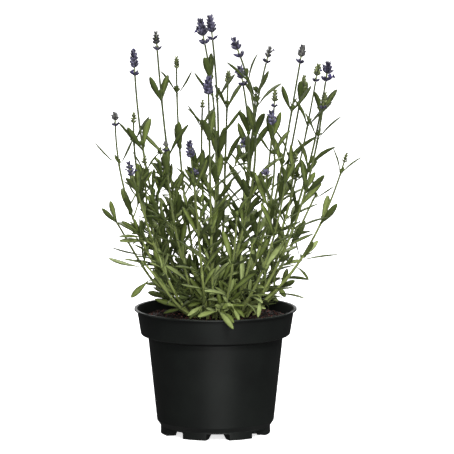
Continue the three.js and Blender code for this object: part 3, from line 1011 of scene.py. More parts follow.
class Plant:
    """The whole plant: grows every shoot by the solids' rule, then fills it out with finer growth."""

    PAIR_TURNS = (0, 22, -22, 44, -44)  # degrees
    STEM_STEP = 3.0  # mm between the spheres along a stem
    BOTH_SIDES = (0, math.pi)

    # Low down at the sides and the front the plant is kept open, so that lip and soil show.
    OPEN_HEIGHT, OPEN_RADIUS, OPEN_BACK = 50, 52, 40  # mm
    BARE_HEIGHT, BARE_SIDE, BARE_BACK = 14, 34, 20  # mm

    LOWEST_BETWEEN, HIGHEST_BETWEEN = 0.06, 0.52  # shares of a shoot with pairs between the main ones
    BETWEEN_SCALE = 0.82
    RANDOM_SPRAYS = 28
    GOLDEN_TURN = 137.5  # degrees from one random spray to the next
    OPEN_SIDE = (160, 255)  # degrees, where random sprays reach less far
    SIDE_NODES = (0.16, 0.64)  # shares of a shoot between which it bears side shoots
    SIDE_LEAF, HANGING_LEAF, LATE_LEAF = 28.0, 27.0, 22.0  # mm
    LATE_BRANCH, LATE_BEND = 42, 24  # mm below a late spike where its stem starts and where it bends

    def __init__(self, soil: Soil, rim_height: float, rim_radius: float, mouth: float) -> None:
        """Grow the plant.

        Args:
            soil: the soil that it grows from.
            rim_height: the height of the pot's lip.
            rim_radius: the lip's outer radius.
            mouth: the pot's inner radius at the soil.
        """
        self.soil, self.rim_height, self.rim_radius, self.mouth = soil, rim_height, rim_radius, mouth
        self.random = random.Random(SEED)
        self.crowd = Crowd()
        self.late = [(row, Route(row, soil)) for row in LATE]
        rows = [(f"flower_stem_{i + 1:02d}", row) for i, row in enumerate(FLOWERING)]
        rows += [(f"leafy_shoot_{i + 1:02d}", row) for i, row in enumerate(LEAFY)]
        self.shoots = [Shoot(name, row, Route(row, soil), i) for i, (name, row) in enumerate(rows)]
        for shoot in self.shoots:
            shoot.shares = self.node_shares(shoot)
            self.crowd.add(self.stem_spheres(shoot), shoot.number)
        self.grow_main_pairs()
        self.grow_between()
        self.grow_side_shoots()
        self.grow_sprays()
        self.grow_hanging()
        self.grow_late()
        self.grow_tufts()

    @staticmethod
    def node_shares(shoot: Shoot) -> list[float]:
        """Space the leaf pairs along a shoot.

        Args:
            shoot: the shoot.

        Returns:
            Where the pairs sit, as shares of the shoot's length, highest first.
        """
        found, below, internode = [], shoot.row.bare, HABIT.internode
        while shoot.route.length - below > HABIT.lowest:
            found.append(1 - below / shoot.route.length)
            below += internode
            internode = max(HABIT.shortest, HABIT.shrink * internode)
        return found

    def stem_spheres(self, shoot: Shoot) -> list[tuple[Array, float]]:
        """Measure the room that a stem and its spike take.

        Args:
            shoot: the shoot.

        Returns:
            Points along the stem and spike, each with the radius that it needs round it.
        """
        corners = [0.0, *reversed(shoot.shares), 1.0]
        found = []
        for low, high in zip(corners, corners[1:]):
            start, stop = shoot.route.point(low), shoot.route.point(high)
            parts = math.ceil(float(np.linalg.norm(stop - start)) / self.STEM_STEP)
            for k in range(parts + 1):
                found.append((start + (stop - start) * k / parts, shoot.route.radius(low)))
        if shoot.row.head:
            beads = math.ceil(shoot.row.head / self.STEM_STEP)
            for i in range(beads + 1):
                rise = HABIT.gap + shoot.row.head * i / beads
                found.append((shoot.route.end + shoot.route.lean * rise, shoot.row.width / 2))
        return found

    def clears_pot(self, spheres: Iterable[tuple[Array, float]]) -> bool:
        """Whether spheres are clear of the pot and the soil.

        Args:
            spheres: the spheres to test.

        Returns:
            True if none touches.
        """
        for point, radius in spheres:
            room = radius + 2 * HABIT.gap
            if point[2] > self.rim_height + room:
                continue
            from_axis = math.hypot(point[0], point[1])
            over_soil = from_axis < self.mouth - room and point[2] > self.soil.height(from_axis) + room
            if not over_soil and from_axis <= self.rim_radius + room:
                return False
        return True

    def keep(self, shoot: Shoot, leaf: Optional[Leaf], deep: float, pale: float) -> None:
        """Give a grown leaf its tone and its place in the crowd.

        Args:
            shoot: the shoot that bears it.
            leaf: the leaf, or None where there was no room.
            deep, pale: the range that its tone is drawn from.
        """
        if leaf is None:
            return
        leaf.tint = self.random.uniform(deep, pale)
        shoot.leaves.append(leaf)
        self.crowd.add(leaf.spheres(), shoot.number)

    def fitted(
        self, shoot: Shoot, seat: Seat, length: float, manner: Manner
    ) -> tuple[Optional[Leaf], float]:
        """Fit a leaf at the largest size that has room.

        Args:
            shoot: the shoot that it grows on.
            seat: where it sits.
            length: its length in millimetres where nothing is in its way.
            manner: how it is fitted.

        Returns:
            The leaf and the share of its full size, or None and 0.
        """
        near = seat.base if manner.own else None
        for size, opening in product(manner.sizes, manner.openings):
            leaf = Leaf.seated(seat, opening, size * length)
            if manner.bare and self.hides_soil(leaf.tip):
                continue
            spheres = leaf.spheres()
            thin = [(point, radius * manner.girth) for point, radius in spheres]
            if self.clears_pot(spheres) and self.crowd.clears(thin, shoot.number, near):
                return leaf, size
        return None, 0.0

    def pair_length(self, share: float, pair: int) -> float:
        """The length of a leaf pair's leaves."""
        middling = HABIT.end_share + (1 - HABIT.end_share) * 4 * share * (1 - share)
        return HABIT.leaf_length * (middling + HABIT.varies * (pair % 3))

    def grow_pair(
        self, shoot: Shoot, share: float, pair: int, manner: Manner = MAIN, turn: float = 0.0,
        scale: float = 1.0,
    ) -> None:
        """Grow a pair of leaves, turned round the stem to where they have the most room.

        Args:
            shoot: the shoot that they grow on.
            share: how far up the shoot they sit.
            pair: the pair's number from the top.
            manner: how they are fitted.
            turn: an extra turn round the stem, in radians.
            scale: their size as a share of the usual one.
        """
        base, tangent = shoot.route.point(share), shoot.route.tangent(share)
        angle = math.radians(HABIT.low_angle + (HABIT.top_angle - HABIT.low_angle) * share)
        length = self.pair_length(share, pair) * scale
        best, most = [], -1.0
        for extra in self.PAIR_TURNS:
            azimuth = math.radians(shoot.row.turn + extra) + pair * math.pi / 2 + turn
            seats = [Seat(base, tangent, azimuth + half, angle) for half in self.BOTH_SIDES]
            found = [self.fitted(shoot, seat, length, manner) for seat in seats]
            room = found[0][1] + found[1][1]
            if room > most:
                best, most = found, room
        for leaf, _size in best:
            self.keep(shoot, leaf, 0.1, 0.9)

    def over_lip(self, place: Array) -> bool:
        """Whether a place is low down and near the pot's lip, where the plant is kept open."""
        low = place[2] < self.soil.crown + self.OPEN_HEIGHT and place[1] < self.OPEN_BACK
        return bool(low and math.hypot(place[0], place[1]) > self.OPEN_RADIUS)

    def hides_soil(self, tip: Array) -> bool:
        """Whether a leaf's tip would lie on the soil at either side, where the soil is bare."""
        low = tip[2] < self.soil.crown + self.BARE_HEIGHT
        return bool(low and abs(tip[0]) > self.BARE_SIDE and tip[1] < self.BARE_BACK)

    def grow_main_pairs(self) -> None:
        """Grow the pairs that the solids have: the highest pair of every shoot first."""
        for pair in range(max(len(shoot.shares) for shoot in self.shoots)):
            for shoot in self.shoots:
                if pair < len(shoot.shares):
                    self.grow_pair(shoot, shoot.shares[pair], pair)

    def grow_between(self) -> None:
        """Grow pairs between the main ones, on the leafy lower part of each shoot."""
        for shoot in self.shoots:
            below = [*shoot.shares[1:], self.LOWEST_BETWEEN]
            for pair, (high, low) in enumerate(zip(shoot.shares, below)):
                middle = (high + low) / 2
                if middle < self.HIGHEST_BETWEEN and not self.over_lip(shoot.route.point(middle)):
                    self.grow_pair(shoot, middle, pair, EXTRA, math.pi / 4, self.BETWEEN_SCALE)

    def grow_tufts(self) -> None:
        """Grow small leaves in the axils of each main pair."""
        places = [
            (shoot, pair, share)
            for shoot in self.shoots
            for pair, share in enumerate(shoot.shares)
            if not self.over_lip(shoot.route.point(share))
        ]
        for (shoot, pair, share), half, swing in product(places, self.BOTH_SIDES, (-0.5, 0.5)):
            azimuth = math.radians(shoot.row.turn) + pair * math.pi / 2 + half + swing
            length = self.random.uniform(11, 22) * (0.7 if share > 0.75 else 1.0)
            angle = math.radians(self.random.uniform(14, 34))
            rise = share + self.random.uniform(0.004, 0.02)
            seat = Seat(shoot.route.point(rise), shoot.route.tangent(rise), azimuth, angle)
            self.keep(shoot, self.fitted(shoot, seat, length, EXTRA)[0], 0.45, 1.0)

    def grow_sprays(self) -> None:
        """Grow the low side shoots, each as a branch of the stem whose foot is nearest."""
        sprays = list(SPRAYS)
        first, last = self.OPEN_SIDE
        for i in range(self.RANDOM_SPRAYS):
            turn = self.GOLDEN_TURN * i + self.random.uniform(-15, 15)
            reach = self.random.uniform(24, 50) * (0.7 if first < turn % 360 < last else 1.0)
            crest = self.random.uniform(14, 50)
            start = self.random.uniform(6, 22)
            sprays.append(Spray(turn, start, reach, crest, self.random.uniform(0, 8)))
        for spray in sprays:
            line = spray.points(self.soil)
            self.branch(self.nearest_foot(line[0]), line, line[-spray.pairs - 1 :], spray.leaf)

    def grow_side_shoots(self) -> None:
        """Grow leafy side shoots from the nodes of the shoots that bear them."""
        low, high = self.SIDE_NODES
        for shoot in self.shoots:
            nodes = [share for share in shoot.shares if low < share < high]
            for node in nodes[: shoot.row.sides]:
                base, tangent = shoot.route.point(node), shoot.route.tangent(node)
                out = swung(*across_stem(tangent), self.random.uniform(0, 2 * math.pi))
                length = self.random.uniform(24, 42)
                share = steps(7)
                line = base + length * (tangent * share * 0.8 + out * (0.75 * share - 0.3 * share**2))
                self.branch(shoot, line, line[1:], self.SIDE_LEAF)

    def grow_hanging(self) -> None:
        """Grow the long low leaves, each at the end of its own arched side shoot."""
        for row in HANGING:
            base, tip = np.array(row.base, dtype=float), np.array(row.tip, dtype=float)
            foot = base * np.array([0.4, 0.4, 0.0])
            foot[2] = self.soil.height(math.hypot(foot[0], foot[1])) - 1
            bend = base * np.array([0.75, 0.75, 1.0]) + np.array([0.0, 0.0, 9.0])
            line = arc(foot, bend, base, 9)
            host = self.nearest_foot(foot)
            along = unit(tip - base)
            facing = np.array(row.facing)
            upper = unit(facing - along * float(facing @ along))
            length = float(np.linalg.norm(tip - base)) * (1 + row.curl**2 / 24)
            leaf = Leaf(base, along, upper, length, row.width, row.tint, curl=row.curl)
            host.leaves.append(leaf)
            self.crowd.add(leaf.spheres(), host.number)
            self.branch(host, line, line[2:7], self.HANGING_LEAF)

    def grow_late(self) -> None:
        """Grow the stems of the late spikes, each from the stem that passes nearest below it."""
        for _row, route in self.late:
            below = route.end - route.lean * self.LATE_BRANCH
            host = min(self.shoots, key=lambda shoot: self.passes(shoot, below)[0])
            start = host.route.point(self.passes(host, below)[1])
            line = arc(start, route.end - route.lean * self.LATE_BEND, route.end, 8)
            self.branch(host, line, line[3:6], self.LATE_LEAF)

    def nearest_foot(self, place: Array) -> Shoot:
        """The shoot whose foot is nearest to a place."""
        return min(self.shoots, key=lambda shoot: float(np.linalg.norm(shoot.route.root - place)))

    @staticmethod
    def passes(shoot: Shoot, place: Array) -> tuple[float, float]:
        """How near a shoot passes to a place.

        Args:
            shoot: the shoot.
            place: the place.

        Returns:
            The distance, and the share of the shoot's length where it is so near.
        """
        shares = np.linspace(0.05, 0.9, 30)
        gaps = [float(np.linalg.norm(shoot.route.point(s) - place)) for s in shares]
        nearest = int(np.argmin(gaps))
        return gaps[nearest], float(shares[nearest])

    def branch(self, shoot: Shoot, line: Array, leafy: Array, longest: float) -> None:
        """Give a shoot a side shoot with leaf pairs along it.

        Args:
            shoot: the shoot that it belongs to.
            line: the side shoot's points, in millimetres.
            leafy: those of its points that bear leaves, after the first of them.
            longest: the length of its longest leaves.
        """
        shoot.branches.append(line)
        turn = self.random.uniform(0, math.pi)
        for i in range(1, len(leafy)):
            if self.over_lip(leafy[i]):
                continue
            tangent = unit(leafy[i] - leafy[i - 1])
            share = i / (len(leafy) - 1)
            for half in self.BOTH_SIDES:
                azimuth = turn + i * math.pi / 2 + half + self.random.uniform(-0.3, 0.3)
                angle = math.radians(self.random.uniform(30, 62) * (1.1 - 0.5 * share))
                length = longest * self.random.uniform(0.65, 1.0) * (1.1 - 0.3 * share)
                seat = Seat(leafy[i], tangent, azimuth, angle)
                self.keep(shoot, self.fitted(shoot, seat, length, SIDE)[0], 0.2, 0.9)


# ------------------------------------------------------------------ leaves and stems


class LeafShape:
    """The lavender leaf that all leaves are copied from: narrow, blunt, with a sunken midrib."""

    # The share of its length and of its greatest half width at each station.
    STATIONS = (
        (0.0, 0.16), (0.16, 0.3), (0.38, 0.72), (0.6, 1.0), (0.8, 0.86), (0.94, 0.5), (1.0, 0.16)
    )
    THICKNESS = 0.34  # of the half width; thicker than a real leaf, so that one seen edge-on still shows
    RIB = 0.22  # how far the midrib is sunk, of the half width

    def template(self) -> Template:
        """Model the leaf along Y, one long and one to each side of its midrib at its widest.

        Returns:
            The template, with how far each vertex is from the midrib and whether it is on the underside.
        """
        deselect_all()
        bpy.ops.mesh.primitive_plane_add(size=2, location=(0, 0, 0))
        piece = active()
        bpy.ops.object.mode_set(mode="EDIT")
        bpy.ops.mesh.select_all(action="SELECT")
        first, second = self.STATIONS[:2]
        bpy.ops.transform.resize(value=(first[1], second[0] / 2, 1))
        bpy.ops.transform.translate(value=(0, second[0] / 2, 0))
        bpy.ops.object.mode_set(mode="OBJECT")
        self.select_far_edge(piece)
        bpy.ops.object.mode_set(mode="EDIT")
        grow = second[1] / first[1]
        bpy.ops.transform.resize(value=(grow, 1, 1), center_override=(0, second[0], 0))
        for (y, half), (next_y, next_half) in zip(self.STATIONS[1:], self.STATIONS[2:]):
            bpy.ops.mesh.extrude_region_move(TRANSFORM_OT_translate={"value": (0, next_y - y, 0)})
            grow = next_half / half
            bpy.ops.transform.resize(value=(grow, 1, 1), center_override=(0, next_y, 0))
        bpy.ops.object.mode_set(mode="OBJECT")
        self.split_along_midrib(piece)
        apply_modifier(piece, "SOLIDIFY", thickness=self.THICKNESS, offset=-1.0)
        points = np.array([v.co for v in piece.data.vertices])
        half = np.interp(points[:, 1], *zip(*self.STATIONS))
        across = np.clip(np.abs(points[:, 0]) / half, 0, 1)
        rise = self.RIB * half * across**1.5
        under = (points[:, 2] < -self.THICKNESS / 2).astype(float)
        points[:, 2] = points[:, 2] * half + rise
        shape = Template.from_object(piece, across=across, under=under)
        shape.points = points
        return shape

    @staticmethod
    def select_far_edge(piece: bpy.types.Object) -> None:
        """Select the plane's edge that is farthest along Y.

        Args:
            piece: the plane.
        """
        mesh = piece.data
        far = max(v.co.y for v in mesh.vertices)
        chosen = {v.index for v in mesh.vertices if abs(v.co.y - far) < 1e-6}
        for polygon in mesh.polygons:
            polygon.select = False
        for edge in mesh.edges:
            edge.select = set(edge.vertices) <= chosen
        for vertex in mesh.vertices:
            vertex.select = vertex.index in chosen

    @staticmethod
    def split_along_midrib(piece: bpy.types.Object) -> None:
        """Cut the leaf along its middle.

        Args:
            piece: the leaf.
        """
        make_active(piece)
        bpy.ops.object.mode_set(mode="EDIT")
        bpy.ops.mesh.select_all(action="SELECT")
        bpy.ops.mesh.bisect(plane_co=(0, 0, 0), plane_no=(1, 0, 0))
        bpy.ops.object.mode_set(mode="OBJECT")


def bent(template: Template, leaf: Leaf, curl: float, twist: float) -> Array:
    """Lay a leaf template on its seat, bent along an arc and twisted.

    Args:
        template: the leaf's template.
        leaf: its seat.
        curl: how far it turns towards its underside from base to tip, in radians.
        twist: how far it twists from base to tip, in radians.

    Returns:
        The vertices in metres.
    """
    across = np.cross(leaf.along, leaf.upper)
    x, y, z = template.points.T
    start = curl / 2
    angle = start - curl * y
    forward = (np.sin(start) - np.sin(angle)) / curl
    rise = (np.cos(angle) - np.cos(start)) / curl
    half = leaf.width / 2
    turn = twist * y
    side = half * (x * np.cos(turn) - z * np.sin(turn))
    lift = half * (x * np.sin(turn) + z * np.cos(turn))
    ahead = leaf.length * forward - lift * np.sin(angle)
    up = leaf.length * rise + lift * np.cos(angle)
    points = leaf.base + np.outer(ahead, leaf.along) + np.outer(up, leaf.upper)
    return (points + np.outer(side, across)) * MM


class Shoots:
    """Every shoot's stem and leaves, one piece for each node."""

    BASE_RADIUS, TIP_RADIUS = 1.65, 1.0  # mm, over the rounded corners
    NODE_SWELLING = 1.2
    FOOT = 10.0  # mm of stem under the soil
    FOOT_LEAN = np.array([0.25, 0.25, 1.0])  # how much of its slope a stem keeps under the soil
    STEP = 7  # mm between a stem's rings
    SMOOTH = math.radians(70)
    FADE = 190  # mm above the soil over which stems turn from pale to deep green
    HIGH_FROM, HIGH_OVER = 60, 150  # mm above the soil from where leaves are high, and over how many

    def __init__(self, plant: Plant) -> None:
        """Make the shared template and materials.

        Args:
            plant: the grown plant.
        """
        self.plant = plant
        self.leaf = LeafShape().template()
        self.leaf_material = LavenderLeaf().material()
        self.stem_material = STEM.material()
        self.random = random.Random(SEED + 1)

    def stem(self, shoot: Shoot) -> bpy.types.Object:
        """Model the stem and its side shoots as square tubes along their curves, swollen at the nodes.

        Args:
            shoot: the grown shoot.

        Returns:
            The stem's mesh object.
        """
        curve = bpy.data.curves.new(shoot.name + "_axis", "CURVE")
        curve.dimensions = "3D"
        curve.bevel_depth = MM
        curve.bevel_resolution = 1
        curve.use_fill_caps = True
        route = shoot.route
        rings = max(16, round(route.length / self.STEP))
        shares = sorted({i / rings for i in range(rings + 1)} | set(shoot.shares))
        places = [route.root - unit(route.tangent(0) * self.FOOT_LEAN) * self.FOOT]
        radii = [self.BASE_RADIUS]
        for share in shares:
            swelling = self.NODE_SWELLING if share in shoot.shares else 1.0
            places.append(route.point(share))
            radii.append((self.BASE_RADIUS + (self.TIP_RADIUS - self.BASE_RADIUS) * share) * swelling)
        self.add_spline(curve, places, radii)
        for line in shoot.branches:
            self.add_spline(curve, list(line), list(np.linspace(1.0, 0.5, len(line))))
        make_active(new_object(shoot.name + "_stem", curve))
        bpy.ops.object.convert(target="MESH")
        piece = active()
        piece.data.materials.clear()
        piece.data.materials.append(self.stem_material)
        bpy.ops.object.shade_smooth_by_angle(angle=self.SMOOTH)
        heights = np.array([v.co.z for v in piece.data.vertices]) / MM
        tone = 1.0 - 0.85 * np.clip((heights - self.plant.soil.crown) / self.FADE, 0.0, 1.0)
        tint = piece.data.attributes.new("tint", "FLOAT", "POINT")
        tint.data.foreach_set("value", tone.astype(np.float32))
        return piece

    @staticmethod
    def add_spline(curve: bpy.types.Curve, places: Sequence[Array], radii: Sequence[float]) -> None:
        """Add one line to a curve.

        Args:
            curve: the curve.
            places: the line's points, in millimetres.
            radii: the tube's radius at each, in millimetres.
        """
        spline = curve.splines.new("POLY")
        spline.points.add(len(places) - 1)
        for point, place, radius in zip(spline.points, places, radii):
            point.co = (*(place * MM), 1.0)
            point.radius = radius

    def dress(self, shoot: Shoot) -> bpy.types.Object:
        """Make a shoot's piece from its stem and leaves.

        Args:
            shoot: the grown shoot.

        Returns:
            The piece, riding on the body and standing for its node.
        """
        copies = Copies()
        for leaf in shoot.leaves:
            curl = self.random.uniform(0.15, 0.75) * self.random.choice((1, 1, 1, -0.5))
            curl = curl if leaf.curl is None else leaf.curl
            twist = self.random.uniform(-0.35, 0.35)
            # Painted light and shade by height: low leaves are made paler where the leaves above shade
            # them, and high leaves darker.
            height = (leaf.base[2] - self.plant.soil.crown - self.HIGH_FROM) / self.HIGH_OVER
            high = min(1.0, max(0.0, height))
            tone = (0.12 + 0.8 * leaf.tint) * (1 - 0.66 * high) + 0.1 * (1 - high)
            leaf.length *= 1 + high * self.random.uniform(0.0, 0.3)
            narrow = 0.12 * (1 - high) if leaf.curl is None else 0.0
            leaf.width *= 1 - narrow + high * self.random.uniform(0.0, 0.14)
            copies.add(self.leaf, bent(self.leaf, leaf, curl, twist), 0, tone)
        leaves = copies.piece("grown_" + shoot.name, [self.leaf_material])
        stem = self.stem(shoot)
        make_active(leaves, stem)
        bpy.ops.object.join()
        stands_for(leaves, shoot.name)
        return leaves

    def build(self) -> list[bpy.types.Object]:
        """Make every shoot's piece."""
        return [self.dress(shoot) for shoot in self.plant.shoots]


# ------------------------------------------------------------------ flower spikes


class SpikeShapes:
    """The small shapes that flower spikes are made of, each one long along Z."""

    # Radius and height at each ring of a shape that is one long.
    CALYX = ((0.06, 0.0), (0.16, 0.14), (0.215, 0.45), (0.2, 0.8), (0.13, 0.96), (0.05, 1.0))
    BUD = ((0.05, 0.0), (0.17, 0.3), (0.16, 0.7), (0.04, 1.0))
    COROLLA = ((0.1, 0.0), (0.14, 0.5), (0.46, 0.86), (0.48, 0.95), (0.16, 0.75), (0.05, 0.65))

    def calyx(self) -> Template:
        """A ribbed calyx, widest past its middle."""
        return Template.from_object(self.ringed(self.CALYX, 8, 0.11))

    def bud(self) -> Template:
        """A closed petal tip."""
        return Template.from_object(self.ringed(self.BUD, 6, 0.0))

    def corolla(self) -> Template:
        """An open flower with five spreading lobes."""
        return Template.from_object(self.ringed(self.COROLLA, 10, 0.22))

    @staticmethod
    def ringed(stations: Sequence[tuple[float, float]], sides: int, rib: float) -> bpy.types.Object:
        """Model a ribbed, closed tube.

        Args:
            stations: radius and height at each ring.
            sides: vertices round it, an even number.
            rib: how much every other vertex stands out, as a share.

        Returns:
            The object.
        """
        piece = turned("part", [(radius / MM, height / MM) for radius, height in stations], sides)
        deselect_all()
        for vertex in piece.data.vertices:
            step = round(math.atan2(vertex.co.y, vertex.co.x) * sides / (2 * math.pi))
            share = 1 + rib if step % 2 == 0 else 1 - rib
            vertex.co.x *= share
            vertex.co.y *= share
        return piece


@dataclass(frozen=True)
class SpikeHabit:
    """How the flowers of one stage sit on a spike.

    Attributes:
        calyx: a calyx's length as a share of the spike's width.
        around: flowers in each whorl.
        pitch: the distance between whorls, in millimetres.
        low_tilt, top_tilt: their angle from the axis at the bottom and at the top, in degrees.
        remote: whether the lowest whorl stands apart from the rest.
        tipped: the share of the calyces that show a dark petal tip.
    """

    calyx: float
    around: int
    pitch: float
    low_tilt: float
    top_tilt: float
    remote: bool
    tipped: float


HABITS = {
    Bloom.BUD: SpikeHabit(0.5, 7, 2.6, 48, 16, False, 0.0),
    Bloom.BUDDING: SpikeHabit(0.5, 7, 2.7, 46, 16, True, 0.1),
    Bloom.CLOSED: SpikeHabit(0.5, 8, 3.0, 46, 20, True, 0.3),
    Bloom.OPEN: SpikeHabit(0.5, 10, 3.2, 50, 24, True, 0.6),
    Bloom.PALE: SpikeHabit(0.48, 10, 3.2, 52, 24, False, 0.5),
}


@dataclass(frozen=True)
class Spike:
    """A spike under way: the copies that it is gathered in, its foot, its direction and its row."""

    copies: Copies
    start: Array
    lean: Array
    row: ShootRow


class FlowerSpikes:
    """Every flower spike, one piece for each node."""

    CALYX_SLOT, PETAL_SLOT, BRACT_SLOT, AXIS_SLOT, WHORL_SLOT = range(5)
    TILT_POWER = 2.2  # how late on the way up the calyces turn upright
    CROWN_FROM = 0.85  # the share of the height from where whorls have three flowers fewer
    APART_TILT, APART_AROUND = 52, 7  # of the whorl that stands apart
    OPEN_FLOWERS = 0.05  # the share of the tipped calyces that are open

    def __init__(self, plant: Plant, leaf: Template) -> None:
        """Make the shared shapes and materials.

        Args:
            plant: the grown plant.
            leaf: the leaf's template, which the bracts are copied from.
        """
        self.plant, self.leaf = plant, leaf
        shapes = SpikeShapes()
        self.calyx, self.bud, self.corolla = shapes.calyx(), shapes.bud(), shapes.corolla()
        green, self.whorl = CALYX_GREEN.material(), CALYX_WHORL.material()
        self.calyces = {
            Bloom.BUD: green,
            Bloom.BUDDING: green,
            Bloom.CLOSED: CALYX_GREY.material(),
            Bloom.OPEN: CALYX_VIOLET.material(),
            Bloom.PALE: CALYX_PALE.material(),
        }
        self.petal, self.bract, self.axis = PETAL.material(), BRACT.material(), STEM.material()
        self.random = random.Random(SEED + 2)

    def dress(self, shoot: Shoot) -> bpy.types.Object:
        """Make one spike's piece.

        Args:
            shoot: the shoot that bears it.

        Returns:
            The piece, riding on the body and standing for its node.
        """
        route, row = shoot.route, shoot.row
        spike = Spike(Copies(), route.end + route.lean * HABIT.gap, route.lean, row)
        self.add_spike(spike)
        name = shoot.name.replace("stem", "spike")
        piece = self.finished(spike.copies, "blooming_" + name, row.bloom)
        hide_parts(name)
        return piece

    def finished(self, copies: Copies, name: str, bloom: Bloom) -> bpy.types.Object:
        """Make a piece from its copies.

        Args:
            copies: the flowers.
            name: the piece's name.
            bloom: how far its flowers have come, which gives its materials.

        Returns:
            The piece, riding on the body.
        """
        materials = [self.calyces[bloom], self.petal, self.bract, self.axis, self.whorl]
        piece = copies.piece(name, materials)
        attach(piece, "root")
        return piece

    def add_spike(self, spike: Spike) -> None:
        """Add a whole spike: its thin stem, the whorl that stands apart and the head.

        Args:
            spike: the spike.
        """
        row, habit = spike.row, HABITS[spike.row.bloom]
        side, front = across_stem(spike.lean)
        x, y, z = (self.calyx.points * np.array([4.2, 4.2, 0.9 * row.head])).T
        points = spike.start + np.outer(z, spike.lean) + np.outer(x, side) + np.outer(y, front)
        spike.copies.add(self.calyx, points * MM, self.AXIS_SLOT, 0.5)
        calyx = habit.calyx * row.width
        low, top = 0.0, row.head - 0.92 * calyx
        if habit.remote:
            self.add_whorl(spike, 0.2, calyx * 1.05, self.APART_TILT, self.APART_AROUND, self.WHORL_SLOT)
            low = min(calyx + 0.12 * row.head, 0.5 * row.head)
        rings = max(2, round((top - low) / habit.pitch) + 1)
        for i in range(rings):
            share = i / (rings - 1)
            tilt = habit.low_tilt + (habit.top_tilt - habit.low_tilt) * share**self.TILT_POWER
            around = habit.around if share < self.CROWN_FROM else habit.around - 3
            height = low + (top - low) * share
            self.add_whorl(spike, height, calyx * (1 - 0.12 * share), tilt, around, self.CALYX_SLOT)

    def add_whorl(
        self, spike: Spike, height: float, calyx: float, tilt: float, around: int, slot: int
    ) -> None:
        """Add one ring of flowers, every third with a bract.

        Args:
            spike: the spike.
            height: the ring's height on the spike, in millimetres.
            calyx: the length of a calyx.
            tilt: its angle from the axis, in degrees.
            around: how many flowers the ring has.
            slot: the number of the calyces' material.
        """
        lean = spike.lean
        side, front = across_stem(lean)
        turn = self.random.uniform(0, 2 * math.pi)
        for i in range(around):
            azimuth = turn + 2 * math.pi * i / around + self.random.uniform(-0.18, 0.18)
            angle = math.radians(tilt + self.random.uniform(-7, 7))
            out = swung(side, front, azimuth)
            along = swung(lean, out, angle)
            rise = height + self.random.uniform(-0.5, 0.5)
            base = spike.start + lean * rise + out * 0.6
            seat = Leaf(base, along, np.cross(unit(np.cross(lean, out)), along), calyx, 0)
            self.add_flower(spike, seat, slot)
            if i % 3 == 0:
                bract = Leaf(base - seat.upper * 0.5, along, seat.upper, calyx * 0.62, calyx * 0.5)
                points = bent(self.leaf, bract, -0.5, 0.0)
                spike.copies.add(self.leaf, points, self.BRACT_SLOT, self.random.uniform(0.2, 0.9))

    def add_flower(self, spike: Spike, seat: Leaf, slot: int) -> None:
        """Add a calyx and what shows at its mouth.

        Args:
            spike: the spike.
            seat: the calyx's seat and size.
            slot: the number of the calyx's material.
        """
        copies, tipped = spike.copies, HABITS[spike.row.bloom].tipped
        length = seat.length * self.random.uniform(0.88, 1.1)
        tint = 0.95 * self.random.random() ** 1.3
        copies.add(self.calyx, self.placed(self.calyx, seat, length), slot, tint)
        chance = self.random.random() * (0.6 if slot == self.WHORL_SLOT else 1.0)
        mouth = Leaf(seat.base + seat.along * length * 0.78, seat.along, seat.upper, 0, 0)
        if chance < tipped * self.OPEN_FLOWERS:
            points = self.placed(self.corolla, mouth, length * 0.75)
            copies.add(self.corolla, points, self.PETAL_SLOT, self.random.uniform(0.6, 1))
        elif chance < tipped:
            points = self.placed(self.bud, mouth, length * 0.48)
            copies.add(self.bud, points, self.PETAL_SLOT, self.random.uniform(0, 1))

    @staticmethod
    def placed(template: Template, seat: Leaf, scale: float) -> Array:
        """Lay a shape that is modelled along Z on a seat.

        Args:
            template: the shape.
            seat: the place and directions.
            scale: its size in millimetres.

        Returns:
            The vertices in metres.
        """
        across = np.cross(seat.along, seat.upper)
        x, y, z = template.points.T * scale
        points = seat.base + np.outer(z, seat.along) + np.outer(x, across) - np.outer(y, seat.upper)
        return points * MM

    def build(self) -> list[bpy.types.Object]:
        """Make every spike's piece."""
        pieces = [self.dress(shoot) for shoot in self.plant.shoots if shoot.row.head]
        for bloom in (Bloom.BUD, Bloom.PALE):
            copies = Copies()
            for row, route in self.plant.late:
                if row.bloom is bloom:
                    self.add_spike(Spike(copies, route.end, route.lean, row))
            pieces.append(self.finished(copies, f"late_spikes_{bloom.name.lower()}", bloom))
        return pieces


# ------------------------------------------------------------------ pot and soil


